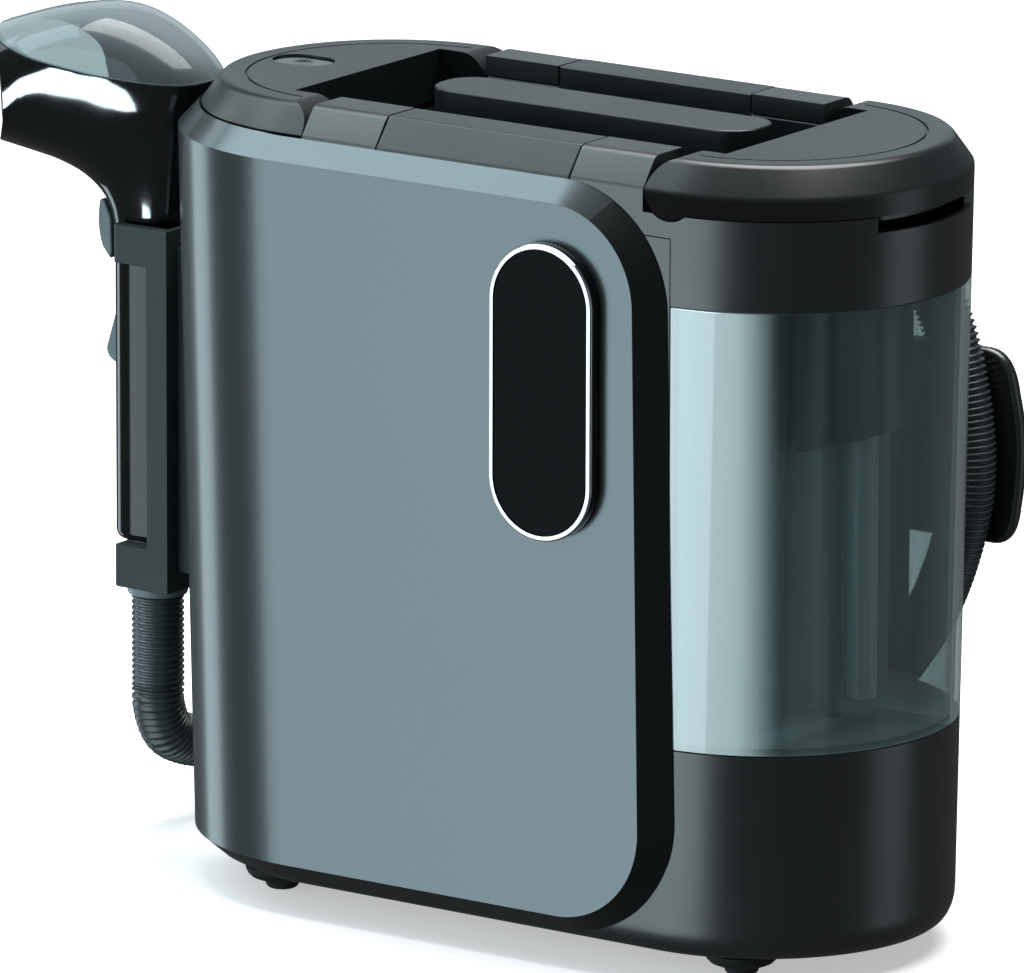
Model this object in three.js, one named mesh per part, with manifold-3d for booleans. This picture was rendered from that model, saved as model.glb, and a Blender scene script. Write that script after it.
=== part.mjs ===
// Portable spot cleaner: a stadium-shaped body with a clear waste tank at its right end, a clean
// tank behind the wrapped front panel at its left end, and a hand tool with a hose wound behind.
// Units are millimetres. +X runs along the length towards the clear tank, -Y is the front, +Z is
// up, and the machine stands on z = 0.
import * as THREE from 'three';
import { mergeVertices } from 'three/addons/utils/BufferGeometryUtils.js';
import Module from 'manifold-3d';

const wasm = await Module();
wasm.setup();

// ---------------------------------------------------------------- driving dimensions
// Body.
const TOP_Z = 330; // top of the rim
const BOTTOM_Z = 10; // underside of the base
const DECK_Z = 94; // top of the base, where both tanks stand
const END_RADIUS = 77.4; // round ends, and half the body's depth
const HALF_SPAN = 93.4; // from the middle to the centre of each end's arc, at the top
const RIGHT_LEAN = 0.0189; // how far the right end draws in for each mm down
const LEFT_LEAN = 0.0257; // the same at the left end
const WALL = 3; // moulded housings
const GAP = 0.4; // clearance between neighbouring pieces
const RUNNING_GAP = 0.3; // clearance around pins and shafts
const BASE_EDGE = 7; // rounding of the base's lower edge
const BASE_PLATE_INSET = 10.4;
const FOOT_RADIUS = 15;
const SCREW_RADIUS = 2.6;
const SCREW_HEAD_RADIUS = 4;
const SCREW_X = 60;
const GRILLE_HALF_WIDTH = 34;
const GRILLE_BOTTOM_Z = 50;
const GRILLE_TOP_Z = 84;
const GRILLE_SLOTS = 6;
const GLAND_X = 52;
const GLAND_Z = 27;
const GLAND_RADIUS = 6;

// Rim, hand recess and grip.
const RIM_CHAMFER = 9.4; // how far the rim's sloping edge goes in
const RIM_CHAMFER_HEIGHT = 11.8;
const RIM_HEIGHT = 30;
const RIM_LIP = 8; // thickness of the rim's inner lip
const RECESS_INSET = 27.4; // from the body's side to the recess
const RECESS_DEPTH = 68;
const PAN_WALL = 2.5;
const GRIP_CENTRE_X = 9;
const GRIP_DEPTH = 30;
const GRIP_HEIGHT = 18;
const GRIP_LEG_LENGTH = 16;
const RIM_MID_HALF = 46.5; // half of the rim's fixed middle stretch

// Lids and their hinges.
const LID_HEIGHT = 20.5;
const LID_WING_LENGTH = 22; // how far the hinged wings reach in beyond the lid's top
const LID_SKIRT = 4;
const LID_TOP_WALL = 4;
const LID_RELIEF = 1.8; // setback of the left lid's side beside the front panel
const HINGE_RADIUS = 11.5; // rounded end of a lid's wing
const HINGE_PIN_RADIUS = 2;
const HINGE_PIN_LENGTH = 22;
const HINGE_EAR = 6; // thickness of the ear that holds a pin
const HINGE_EAR_RADIUS = 6.5;
const HINGE_EAR_INSET = 14.4; // from the body's side to an ear's middle
const LATCH_HALF_LENGTH = 13;
const LATCH_HALF_WIDTH = 9;
const LATCH_TRAVEL = 2;

// Tanks.
const COLLAR_HEIGHT = 57; // black collar on the clear tank, with its lid
const TANK_WALL = 2.4;
const FINGER_SLOT_ANGLE = 27; // half of the finger slot's arc under the right lid, in degrees
const FINGER_SLOT_HEIGHT = 6.5;
const FINGER_SLOT_DEPTH = 7;
const MOUTH_RADIUS = 19;
const MOUTH_OFFSET = 41; // from the end's arc centre to the filling mouth's
const SEAL_WIDTH = 3.4;
const SEAL_HEIGHT = 3;
const PIPE_WALL = 1.3;
const VALVE_HOLE_RADIUS = 9;

// Front panel and control pod.
const PANEL_STAND = 8.9; // how far the front panel stands proud of the body
const PANEL_BOTTOM_Z = 13.7;
const PANEL_BOTTOM_BEVEL = 7.5;
const PANEL_TOP_BEVEL = 8.9;
const PANEL_RIGHT_BEVEL = 11.3;
const PANEL_RIGHT_LEAN = 0.0176; // the right edge moves out for each mm down
const PANEL_CORNER_RADIUS = 50;
const PANEL_FACE_CORNER_RADIUS = 39;
const PANEL_END_Y = -25; // where the panel stops on the left end, beside the dock
const PANEL_SKIN = 3;
const POD_X = 43;
const POD_WIDTH = 49;
const POD_HEIGHT = 119.6;
const POD_STAND = 6; // how far the control pod stands proud of the panel
const POD_RING_WIDTH = 2.2;
const POD_STEM_INSET = 3;
const POD_RING_DEPTH = 1.6;
const GLASS_THICKNESS = 1.5;

// Hand tool and its dock.
const TOOL_REACH = 40.2; // from the body's left end to the axis of the tool's handle
const HANDLE_WIDTH = 32; // along X
const HANDLE_DEPTH = 30; // along Y
const HEAD_WALL = 2.2;
const TRIGGER_HALF_WIDTH = 5.6;
const LEVER_HALF_WIDTH = 7;
const PIN_RADIUS = 1.5;
const DOCK_BOTTOM_Z = 104.5;
const DOCK_HALF_DEPTH = 22;
const DOCK_WALL = 3;
const DOCK_LOWER_CLIP_HEIGHT = 17.5;
const DOCK_UPPER_CLIP_HEIGHT = 16;
const DOCK_CLIP_REACH = 6.7; // how far the clips reach in front of the tool's axis
const DOCK_SIDE_SETBACK = 10.5; // how far the side walls stop behind the tool's axis
const DOCK_STEM_HALF_DEPTH = 14;

// Hose, cradle and hooks.
const HOSE_DIAMETER = 22;
const HOSE_SIDES = 8;
const HOSE_STEPS = 52;
const HOSE_STANDOFF = 4.1; // from the body's back to the wound hose's surface
const HOSE_LOW_Z = 27.5;
const HOSE_RISER_BOTTOM_Z = 60;
const CUFF_RADIUS = 12.6;
const CUFF_BOTTOM_Z = 98;
const CUFF_LENGTH = 34;
const CRADLE_BOTTOM_Z = 78;
const CRADLE_THICKNESS = 3;
const CRADLE_CORNER = 40;
const HOOK_HEIGHT = 80;
const HOOK_THICKNESS = 6;
const HOOK_ARM_HEIGHT = 66;
const INLET_X = -22; // where the hose's air enters the body
const INLET_RADIUS = 12;

// Fan, motor and pump.
const MOTOR_X = 18;
const MOTOR_RADIUS = 36;
const MOTOR_HEIGHT = 74;
const FAN_RADIUS = 48;
const FAN_HEIGHT = 42;
const FAN_WALL = 2.5;
const FAN_EYE = 16;
const FAN_BLADES = 6;
const SHAFT_RADIUS = 4;

const ARC_SEGMENTS = 16; // facets in each round end of the body
const FAR = 400; // reach of the boxes that cut the body's form
const DEG = Math.PI / 180;

// ---------------------------------------------------------------- derived dimensions
const RECESS_HALF_DEPTH = END_RADIUS - RECESS_INSET;
const RECESS_LEFT = -HALF_SPAN - 11.6;
const RECESS_RIGHT = HALF_SPAN + 8.6;
const RECESS_FLOOR_Z = TOP_Z - RECESS_DEPTH;
const GRIP_LENGTH = 2 * HALF_SPAN - 32.8;
const RIM_BOTTOM_Z = TOP_Z - RIM_HEIGHT;
const LIP_Z = TOP_Z - RIM_LIP;
const LID_BOTTOM_Z = TOP_Z - LID_HEIGHT;
const HINGE_Z = TOP_Z - HINGE_RADIUS;
const HINGE_EAR_Y = END_RADIUS - HINGE_EAR_INSET;
const RIGHT_HINGE_X = RECESS_RIGHT + HINGE_RADIUS - LID_WING_LENGTH + 2;
const LEFT_HINGE_X = RECESS_LEFT - HINGE_RADIUS + LID_WING_LENGTH;
const ARM_RIGHT_X = RIGHT_HINGE_X - HINGE_RADIUS - 0.5; // end of the right tank's rim arms
const ARM_LEFT_X = LEFT_HINGE_X + HINGE_RADIUS + 0.5;
const COLLAR_BOTTOM_Z = TOP_Z - COLLAR_HEIGHT;
const LATCH_X = -HALF_SPAN - 43.6;

const SHELL_BOTTOM_Z = DECK_Z + GAP;
const SHELL_TOP_Z = RIM_BOTTOM_Z - GAP;
const SHELL_RIGHT_X = HALF_SPAN + 0.9; // right edge of the front and back walls
const NOSE_WALL = 1.8;
const NOSE_RIGHT_X = RECESS_RIGHT + PAN_WALL + GAP + NOSE_WALL; // end of the part behind the clear tank
const NOSE_HALF_DEPTH = RECESS_HALF_DEPTH + PAN_WALL + GAP + NOSE_WALL;
const BAY_WALL_X = RECESS_LEFT - PAN_WALL - GAP; // right face of the clean tank bay's inner wall
const TANK_FRONT_X = SHELL_RIGHT_X + GAP; // left edge of the clear tank at the front and back
const TANK_BACK_X = NOSE_RIGHT_X + GAP; // the clear tank's flat back, beside the nose
const TANK_TOP_Z = COLLAR_BOTTOM_Z - GAP;
const VALVE_X = -HALF_SPAN - 34.6; // clean tank's outlet valve

const PANEL_TOP_Z = TOP_Z - RIM_CHAMFER_HEIGHT;
const PANEL_MID_Z = (PANEL_BOTTOM_Z + PANEL_TOP_Z) / 2;
const PANEL_RIGHT_X = HALF_SPAN + 2.4; // outer right edge, at mid height
const POD_Z = TOP_Z - 96;
const POD_BACK_Y = -END_RADIUS - PANEL_STAND - GAP;
const POD_FRONT_Y = -END_RADIUS - PANEL_STAND - POD_STAND;

const TOOL_X = -HALF_SPAN - END_RADIUS - TOOL_REACH; // axis of the hand tool's handle
const DOCK_TOP_Z = TOP_Z - 74;
const DOCK_BACK_X = TOOL_X + HANDLE_WIDTH / 2 + 2; // left face of the dock's back wall
const HEAD_Z = DOCK_TOP_Z - 4; // underside of the tool's head
const HANDLE_TOP_Z = HEAD_Z - GAP;
const HANDLE_BOTTOM_Z = DOCK_BOTTOM_Z + DOCK_LOWER_CLIP_HEIGHT + GAP;
const CUFF_TOP_Z = CUFF_BOTTOM_Z + CUFF_LENGTH;

const HOSE_Y = END_RADIUS + HOSE_STANDOFF + HOSE_DIAMETER / 2; // plane of the hose's wound turns
const INLET_Z = DECK_Z + 21;
const CRADLE_HALF_WIDTH = HALF_SPAN + 10.6;
const CRADLE_TOP_Z = RECESS_FLOOR_Z;
const HOOK_Y = HOSE_Y + HOSE_DIAMETER / 2 + 0.9;
const HOOK_CENTRE_Z = 0.5636 * TOP_Z;
const HOOK_INNER_X = 0.685 * HALF_SPAN;
const HOOK_REACH = 1.515 * HALF_SPAN;
const HOOK_ARM_OUTER_X = 1.27 * HALF_SPAN - HOSE_DIAMETER / 2;

// ---------------------------------------------------------------- solids and outlines
function signedVolume(geometry) {
  const p = geometry.attributes.position;
  const index = geometry.index;
  const a = new THREE.Vector3();
  const b = new THREE.Vector3();
  const c = new THREE.Vector3();
  let sum = 0;
  for (let i = 0; i < index.count; i += 3) {
    a.fromBufferAttribute(p, index.getX(i));
    b.fromBufferAttribute(p, index.getX(i + 1));
    c.fromBufferAttribute(p, index.getX(i + 2));
    sum += a.dot(b.cross(c));
  }
  return sum;
}

// A closed three.js geometry becomes a solid whose faces point out.
function solid(geometry) {
  const plain = geometry.clone();
  plain.deleteAttribute('normal');
  plain.deleteAttribute('uv');
  const merged = mergeVertices(plain, 1e-4);
  const triangles = Uint32Array.from(merged.index.array);
  if (signedVolume(merged) < 0) {
    for (let i = 0; i < triangles.length; i += 3) {
      [triangles[i + 1], triangles[i + 2]] = [triangles[i + 2], triangles[i + 1]];
    }
  }
  const mesh = new wasm.Mesh({
    numProp: 3,
    vertProperties: Float32Array.from(merged.attributes.position.array),
    triVerts: triangles,
  });
  return new wasm.Manifold(mesh);
}

function geometryOf(body) {
  const mesh = body.getMesh();
  const geometry = new THREE.BufferGeometry();
  geometry.setAttribute('position', new THREE.BufferAttribute(Float32Array.from(mesh.vertProperties), 3));
  geometry.setIndex(new THREE.BufferAttribute(Uint32Array.from(mesh.triVerts), 1));
  return geometry;
}

function box(x0, x1, y0, y1, z0, z1) {
  const geometry = new THREE.BoxGeometry(x1 - x0, y1 - y0, z1 - z0);
  geometry.translate((x0 + x1) / 2, (y0 + y1) / 2, (z0 + z1) / 2);
  return solid(geometry);
}

// A round bar along an axis, given by its two ends on that axis.
function bar(axis, radius, from, to, centre, sides = 24) {
  const geometry = new THREE.CylinderGeometry(radius, radius, to - from, sides);
  if (axis === 'x') geometry.rotateZ(Math.PI / 2);
  if (axis === 'z') geometry.rotateX(Math.PI / 2);
  const mid = (from + to) / 2;
  const [first, second] = centre;
  const place = { x: [mid, first, second], y: [first, mid, second], z: [first, second, mid] };
  geometry.translate(...place[axis]);
  return solid(geometry);
}

// An outline drawn in X and Z, given thickness along Y.
function slabXZ(shape, y0, y1, curveSegments = 12) {
  const geometry = new THREE.ExtrudeGeometry(shape, { depth: y1 - y0, bevelEnabled: false, curveSegments });
  geometry.rotateX(Math.PI / 2);
  geometry.translate(0, y1, 0);
  return solid(geometry);
}

// An outline drawn in X and Y, given height.
function slabXY(shape, z0, z1, curveSegments = 12) {
  const geometry = new THREE.ExtrudeGeometry(shape, { depth: z1 - z0, bevelEnabled: false, curveSegments });
  geometry.translate(0, 0, z0);
  return solid(geometry);
}

// A profile of [radius, height] points turned about a vertical axis.
function turned(profile, x, y, sides = 24) {
  const geometry = new THREE.LatheGeometry(profile.map(([r, z]) => new THREE.Vector2(r, z)), sides);
  geometry.rotateX(Math.PI / 2);
  geometry.translate(x, y, 0);
  return solid(geometry);
}

// Convex rings with the same number of points, joined in order and closed at both ends.
function stack(rings) {
  const count = rings[0].length;
  const positions = [];
  const index = [];
  for (const ring of rings) for (const p of ring) positions.push(p.x, p.y, p.z);
  for (let r = 0; r + 1 < rings.length; r += 1) {
    for (let i = 0; i < count; i += 1) {
      const j = (i + 1) % count;
      const low = r * count;
      const high = low + count;
      index.push(low + i, low + j, high + j, low + i, high + j, high + i);
    }
  }
  const last = (rings.length - 1) * count;
  for (let i = 1; i + 1 < count; i += 1) {
    index.push(0, i + 1, i, last, last + i, last + i + 1);
  }
  const geometry = new THREE.BufferGeometry();
  geometry.setAttribute('position', new THREE.Float32BufferAttribute(positions, 3));
  geometry.setIndex(index);
  return solid(geometry);
}

function tube(points, radius, sides, steps) {
  const path = new THREE.CatmullRomCurve3(points.map((p) => new THREE.Vector3(...p)), false, 'centripetal');
  const section = new THREE.Shape();
  for (let i = 0; i < sides; i += 1) {
    const a = (i / sides) * Math.PI * 2;
    if (i === 0) section.moveTo(radius, 0);
    else section.lineTo(radius * Math.cos(a), radius * Math.sin(a));
  }
  const geometry = new THREE.ExtrudeGeometry(section, { steps, extrudePath: path, bevelEnabled: false });
  return solid(geometry);
}

function roundedRectangle(x0, x1, y0, y1, r) {
  const shape = new THREE.Shape();
  shape.moveTo(x0 + r, y0);
  shape.lineTo(x1 - r, y0);
  shape.absarc(x1 - r, y0 + r, r, -Math.PI / 2, 0, false);
  shape.lineTo(x1, y1 - r);
  shape.absarc(x1 - r, y1 - r, r, 0, Math.PI / 2, false);
  shape.lineTo(x0 + r, y1);
  shape.absarc(x0 + r, y1 - r, r, Math.PI / 2, Math.PI, false);
  shape.lineTo(x0, y0 + r);
  shape.absarc(x0 + r, y0 + r, r, Math.PI, Math.PI * 1.5, false);
  return shape;
}

// The body's plan outline at one height: two half circles whose centres draw in towards the base.
function bodyRing(z, inset) {
  const ring = [];
  const radius = END_RADIUS - inset;
  const right = HALF_SPAN - RIGHT_LEAN * (TOP_Z - z);
  const left = -HALF_SPAN + LEFT_LEAN * (TOP_Z - z);
  for (let i = 0; i <= ARC_SEGMENTS; i += 1) {
    const a = -Math.PI / 2 + (i / ARC_SEGMENTS) * Math.PI;
    ring.push(new THREE.Vector3(right + radius * Math.cos(a), radius * Math.sin(a), z));
  }
  for (let i = 0; i <= ARC_SEGMENTS; i += 1) {
    const a = Math.PI / 2 + (i / ARC_SEGMENTS) * Math.PI;
    ring.push(new THREE.Vector3(left + radius * Math.cos(a), radius * Math.sin(a), z));
  }
  return ring;
}

// The body's outer form between two heights, drawn in by an inset.
const body = (inset, z0, z1) => stack([bodyRing(z0, inset), bodyRing(z1, inset)]);

// The same with the rim's sloping edge at the top.
function bodyWithRim(z0) {
  return stack([
    bodyRing(z0, 0),
    bodyRing(TOP_Z - RIM_CHAMFER_HEIGHT, 0),
    bodyRing(TOP_Z, RIM_CHAMFER),
  ]);
}

const rightOf = (x, z0 = 0, z1 = FAR) => box(x, FAR, -FAR, FAR, z0, z1);
const leftOf = (x, z0 = 0, z1 = FAR) => box(-FAR, x, -FAR, FAR, z0, z1);
const between = (x0, x1, z0 = 0, z1 = FAR) => box(x0, x1, -FAR, FAR, z0, z1);

function union(...parts) {
  return parts.reduce((sum, part) => sum.add(part));
}

// ---------------------------------------------------------------- the assembly
const machine = new THREE.Group();

const FINISH = {
  housing: { color: 0x262b2d, roughness: 0.5, metalness: 0 },
  panel: { color: 0x74878c, roughness: 0.32, metalness: 0.75 },
  chrome: { color: 0xdfe3e4, roughness: 0.12, metalness: 1 },
  glass: { color: 0x0b0c0d, roughness: 0.08, metalness: 0 },
  clear: { color: 0xcfdadb, roughness: 0.05, metalness: 0 },
  rubber: { color: 0x141516, roughness: 0.8, metalness: 0 },
  hose: { color: 0x17191a, roughness: 0.6, metalness: 0 },
  gloss: { color: 0x0c0e0f, roughness: 0.12, metalness: 0 },
  grey: { color: 0x7f8b8c, roughness: 0.4, metalness: 0 },
  steel: { color: 0xb7babb, roughness: 0.3, metalness: 1 },
  board: { color: 0x1f5a3a, roughness: 0.5, metalness: 0 },
  white: { color: 0xd9dcdc, roughness: 0.5, metalness: 0 },
};

function add(name, shape, finish) {
  const mesh = new THREE.Mesh(geometryOf(shape), new THREE.MeshStandardMaterial(FINISH[finish]));
  mesh.name = name;
  machine.add(mesh);
}

// ---------------------------------------------------------------- base
function baseHousing() {
  const outer = stack([
    bodyRing(BOTTOM_Z, BASE_EDGE),
    bodyRing(BOTTOM_Z + BASE_EDGE * 0.4, BASE_EDGE * 0.45),
    bodyRing(BOTTOM_Z + BASE_EDGE * 1.2, BASE_EDGE * 0.08),
    bodyRing(BOTTOM_Z + BASE_EDGE * 1.8, 0),
    bodyRing(DECK_Z, 0),
  ]);
  const room = stack([
    bodyRing(BOTTOM_Z - 1, BASE_PLATE_INSET - GAP),
    bodyRing(BOTTOM_Z + WALL + 1, BASE_PLATE_INSET - GAP),
    bodyRing(BOTTOM_Z + BASE_EDGE * 2, WALL),
    bodyRing(DECK_Z - WALL, WALL),
  ]);
  const valveHole = bar('z', VALVE_HOLE_RADIUS, DECK_Z - WALL - 1, DECK_Z + 1, [VALVE_X, 0], 16);
  const airHole = bar('z', FAN_EYE, DECK_Z - WALL - 1, DECK_Z + 1, [MOTOR_X, 0], 16);
  const grilleHole = box(-GRILLE_HALF_WIDTH, GRILLE_HALF_WIDTH, END_RADIUS - WALL - 1, END_RADIUS + 1,
    GRILLE_BOTTOM_Z, GRILLE_TOP_Z);
  const glandHole = bar('y', GLAND_RADIUS + GAP, END_RADIUS - WALL - 1, END_RADIUS + 1, [GLAND_X, GLAND_Z],
    12);
  return outer.subtract(room).subtract(valveHole).subtract(airHole).subtract(grilleHole).subtract(glandHole);
}

function exhaustGrille() {
  const frame = box(-GRILLE_HALF_WIDTH + GAP, GRILLE_HALF_WIDTH - GAP, END_RADIUS - WALL, END_RADIUS,
    GRILLE_BOTTOM_Z + GAP, GRILLE_TOP_Z - GAP);
  const pitch = (GRILLE_TOP_Z - GRILLE_BOTTOM_Z - 6) / GRILLE_SLOTS;
  let grille = frame;
  for (let i = 0; i < GRILLE_SLOTS; i += 1) {
    const z = GRILLE_BOTTOM_Z + 3 + pitch * (i + 0.5);
    grille = grille.subtract(box(-GRILLE_HALF_WIDTH + 5, GRILLE_HALF_WIDTH - 5, END_RADIUS - WALL - 1,
      END_RADIUS + 1, z - pitch * 0.22, z + pitch * 0.22));
  }
  return grille;
}

function basePlate() {
  const top = BOTTOM_Z + WALL;
  let plate = stack([bodyRing(BOTTOM_Z, BASE_PLATE_INSET), bodyRing(top, BASE_PLATE_INSET)]);
  for (const [x, y] of cornerPlaces(SCREW_X, RECESS_HALF_DEPTH - 2)) {
    plate = plate.subtract(bar('z', SCREW_RADIUS + GAP, BOTTOM_Z - 1, top + 1, [x, y], 10));
    plate = plate.subtract(bar('z', SCREW_HEAD_RADIUS + GAP, BOTTOM_Z - 1, BOTTOM_Z + 1.5, [x, y], 10));
  }
  return plate;
}

function cornerPlaces(x, y) {
  return [[x, -y], [-x, -y], [-x, y], [x, y]];
}

function foot(x, y) {
  return turned([
    [0, 0], [5, 0], [6.6, 1], [7, 3.4], [10.5, 4], [FOOT_RADIUS - 1.6, 6], [FOOT_RADIUS, BOTTOM_Z - GAP],
    [0, BOTTOM_Z - GAP],
  ], x, y, 14);
}

function plateScrew(x, y) {
  return turned([
    [0, BOTTOM_Z + 0.2], [SCREW_HEAD_RADIUS, BOTTOM_Z + 0.2], [SCREW_HEAD_RADIUS, BOTTOM_Z + 1.2],
    [SCREW_RADIUS, BOTTOM_Z + 1.2], [SCREW_RADIUS, BOTTOM_Z + 12], [0, BOTTOM_Z + 12.8],
  ], x, y, 8);
}

function cordGland() {
  const sleeve = bar('y', GLAND_RADIUS, END_RADIUS - WALL, END_RADIUS + 8, [GLAND_X, GLAND_Z], 12);
  const flange = bar('y', GLAND_RADIUS + 2.4, END_RADIUS + GAP, END_RADIUS + 2.4, [GLAND_X, GLAND_Z], 12);
  const bore = bar('y', GLAND_RADIUS * 0.5, END_RADIUS - WALL - 1, END_RADIUS + 9, [GLAND_X, GLAND_Z], 12);
  return sleeve.add(flange).subtract(bore);
}

add('base_housing', baseHousing(), 'housing');
add('base_plate', basePlate(), 'housing');
const footNames = ['foot_front_right', 'foot_front_left', 'foot_back_left', 'foot_back_right'];
cornerPlaces(HALF_SPAN + 18.6, RECESS_HALF_DEPTH).forEach(([x, y], i) => {
  add(footNames[i], foot(x, y), 'rubber');
});
cornerPlaces(SCREW_X, RECESS_HALF_DEPTH - 2).forEach(([x, y], i) => {
  add(`base_screw_${i + 1}`, plateScrew(x, y), 'steel');
});
add('exhaust_grille', exhaustGrille(), 'housing');
add('cord_gland', cordGland(), 'rubber');

// ---------------------------------------------------------------- middle housing
function mainShell() {
  const h0 = SHELL_BOTTOM_Z;
  const h1 = SHELL_TOP_Z;
  const outer = body(0, h0, h1).intersect(leftOf(SHELL_RIGHT_X))
    .add(box(SHELL_RIGHT_X - 30, NOSE_RIGHT_X, -NOSE_HALF_DEPTH, NOSE_HALF_DEPTH, h0, h1));
  const room = body(WALL, h0 - 1, h1 + 1).intersect(leftOf(SHELL_RIGHT_X - WALL))
    .add(box(SHELL_RIGHT_X - 40, NOSE_RIGHT_X - NOSE_WALL, -NOSE_HALF_DEPTH + NOSE_WALL,
      NOSE_HALF_DEPTH - NOSE_WALL, h0 - 1, h1 + 1));
  const bayWall = box(BAY_WALL_X - WALL, BAY_WALL_X, -END_RADIUS + 1, END_RADIUS - 1, h0, h1);
  const shell = outer.subtract(room).add(bayWall.intersect(body(1, h0, h1)));
  const inlet = bar('y', INLET_RADIUS + GAP, END_RADIUS - WALL - 1, END_RADIUS + 1, [INLET_X, INLET_Z], 20);
  return shell.subtract(inlet);
}

// Hand recess with the fixed middle stretch of the rim on both sides of it.
function topDeck() {
  const innerBottom = RECESS_FLOOR_Z;
  const outerBottom = RECESS_FLOOR_Z - PAN_WALL;
  const wingTop = HINGE_Z - HINGE_RADIUS - GAP;
  const wallY = RECESS_HALF_DEPTH + PAN_WALL;
  const panOuter = box(RECESS_LEFT - PAN_WALL, RECESS_RIGHT + PAN_WALL, -wallY, wallY, outerBottom, wingTop);
  const middleWalls = box(ARM_LEFT_X + GAP, ARM_RIGHT_X - GAP, -wallY, wallY, outerBottom, LIP_Z - GAP);
  const rimMiddle = bodyWithRim(RIM_BOTTOM_Z).intersect(between(-RIM_MID_HALF, RIM_MID_HALF));
  const underRim = box(-RIM_MID_HALF + WALL, RIM_MID_HALF - WALL, -END_RADIUS + WALL, END_RADIUS - WALL,
    RIM_BOTTOM_Z - 1, TOP_Z - RIM_CHAMFER_HEIGHT);
  const hollow = box(RECESS_LEFT, RECESS_RIGHT, -RECESS_HALF_DEPTH, RECESS_HALF_DEPTH, innerBottom, FAR);
  return rimMiddle.subtract(underRim).add(panOuter).add(middleWalls).subtract(hollow);
}

function gripBar() {
  const x0 = GRIP_CENTRE_X - GRIP_LENGTH / 2;
  const x1 = GRIP_CENTRE_X + GRIP_LENGTH / 2;
  const y = GRIP_DEPTH / 2;
  const z0 = TOP_Z - GRIP_HEIGHT;
  const barTop = slabXY(roundedRectangle(x0, x1, -y, y, y - 2), z0, TOP_Z, 6);
  const leg = (from, to) => (
    slabXY(roundedRectangle(from, to, -y + 3, y - 3, 6), RECESS_FLOOR_Z + GAP, z0 + 1, 3));
  return union(barTop, leg(x0 + 4, x0 + 4 + GRIP_LEG_LENGTH), leg(x1 - 4 - GRIP_LEG_LENGTH, x1 - 4));
}

add('main_shell', mainShell(), 'housing');
add('top_deck', topDeck(), 'housing');
add('grip_bar', gripBar(), 'housing');

// ---------------------------------------------------------------- front panel and control pod
// The panel's outline seen from the front, at one depth: rounded at its right corners.
function panelRing(y, shrinkX, shrinkTop, shrinkBottom, radius) {
  const ring = [];
  const z0 = PANEL_BOTTOM_Z + shrinkBottom;
  const z1 = PANEL_TOP_Z - shrinkTop;
  const edge = (z) => PANEL_RIGHT_X - shrinkX - PANEL_RIGHT_LEAN * (z - PANEL_MID_Z);
  const steps = 7;
  for (let i = 0; i <= steps; i += 1) {
    const a = -Math.PI / 2 + (i / steps) * (Math.PI / 2);
    ring.push([edge(z0 + radius) - radius + radius * Math.cos(a), z0 + radius + radius * Math.sin(a)]);
  }
  for (let i = 0; i <= steps; i += 1) {
    const a = (i / steps) * (Math.PI / 2);
    ring.push([edge(z1 - radius) - radius + radius * Math.cos(a), z1 - radius + radius * Math.sin(a)]);
  }
  ring.push([-FAR, z1], [-FAR, z0]);
  return ring.map(([x, z]) => new THREE.Vector3(x, y, z));
}

function panelMask() {
  const face = [PANEL_RIGHT_BEVEL, PANEL_TOP_BEVEL, PANEL_BOTTOM_BEVEL, PANEL_FACE_CORNER_RADIUS];
  const back = [0, 0, 0, PANEL_CORNER_RADIUS];
  return stack([
    panelRing(-END_RADIUS - PANEL_STAND - 1, ...face),
    panelRing(-END_RADIUS - PANEL_STAND, ...face),
    panelRing(-END_RADIUS, ...back),
    panelRing(PANEL_END_Y, ...back),
  ]);
}

function frontPanel() {
  const slab = stack([
    bodyRing(PANEL_BOTTOM_Z, -GAP),
    bodyRing(PANEL_BOTTOM_Z + PANEL_BOTTOM_BEVEL, -PANEL_STAND),
    bodyRing(PANEL_TOP_Z - PANEL_TOP_BEVEL, -PANEL_STAND),
    bodyRing(PANEL_TOP_Z, -GAP),
  ]);
  const inner = body(-GAP, PANEL_BOTTOM_Z - 1, PANEL_TOP_Z + 1);
  const pocket = body(PANEL_SKIN - PANEL_STAND, PANEL_BOTTOM_Z + 16, PANEL_TOP_Z - 18)
    .intersect(box(-FAR, PANEL_RIGHT_X - 26, -FAR, PANEL_END_Y - WALL, 0, FAR));
  const opening = slabXZ(podOutline(POD_STEM_INSET - GAP), -END_RADIUS - PANEL_STAND - 1, -END_RADIUS + 1, 5);
  return slab.subtract(inner).intersect(panelMask()).subtract(pocket).subtract(opening);
}

function podOutline(inset) {
  const w = POD_WIDTH / 2 - inset;
  const h = POD_HEIGHT / 2 - inset;
  return roundedRectangle(POD_X - w, POD_X + w, POD_Z - h, POD_Z + h, w - 0.01);
}

function podHousing() {
  const flange = slabXZ(podOutline(0), POD_FRONT_Y + POD_RING_DEPTH + GAP / 2, POD_BACK_Y, 5);
  const stem = slabXZ(podOutline(POD_STEM_INSET), POD_BACK_Y - 1, -END_RADIUS - GAP - 0.1, 5);
  const room = slabXZ(podOutline(POD_STEM_INSET + 2), POD_BACK_Y - 1.5, -END_RADIUS + 1, 5);
  return flange.add(stem).subtract(room);
}

function podRing() {
  const back = POD_FRONT_Y + POD_RING_DEPTH;
  return slabXZ(podOutline(0), POD_FRONT_Y, back, 6)
    .subtract(slabXZ(podOutline(POD_RING_WIDTH), POD_FRONT_Y - 1, back + 1, 6));
}

function podGlass() {
  const front = POD_FRONT_Y + 0.3;
  return slabXZ(podOutline(POD_RING_WIDTH + GAP / 2), front, front + GLASS_THICKNESS - 0.3, 6);
}

function controlBoard() {
  const x = POD_WIDTH / 2 - POD_STEM_INSET - 4;
  const z = POD_HEIGHT / 2 - 20;
  const back = POD_BACK_Y + 3;
  return box(POD_X - x, POD_X + x, back, back + 1.6, POD_Z - z, POD_Z + z);
}

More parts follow.
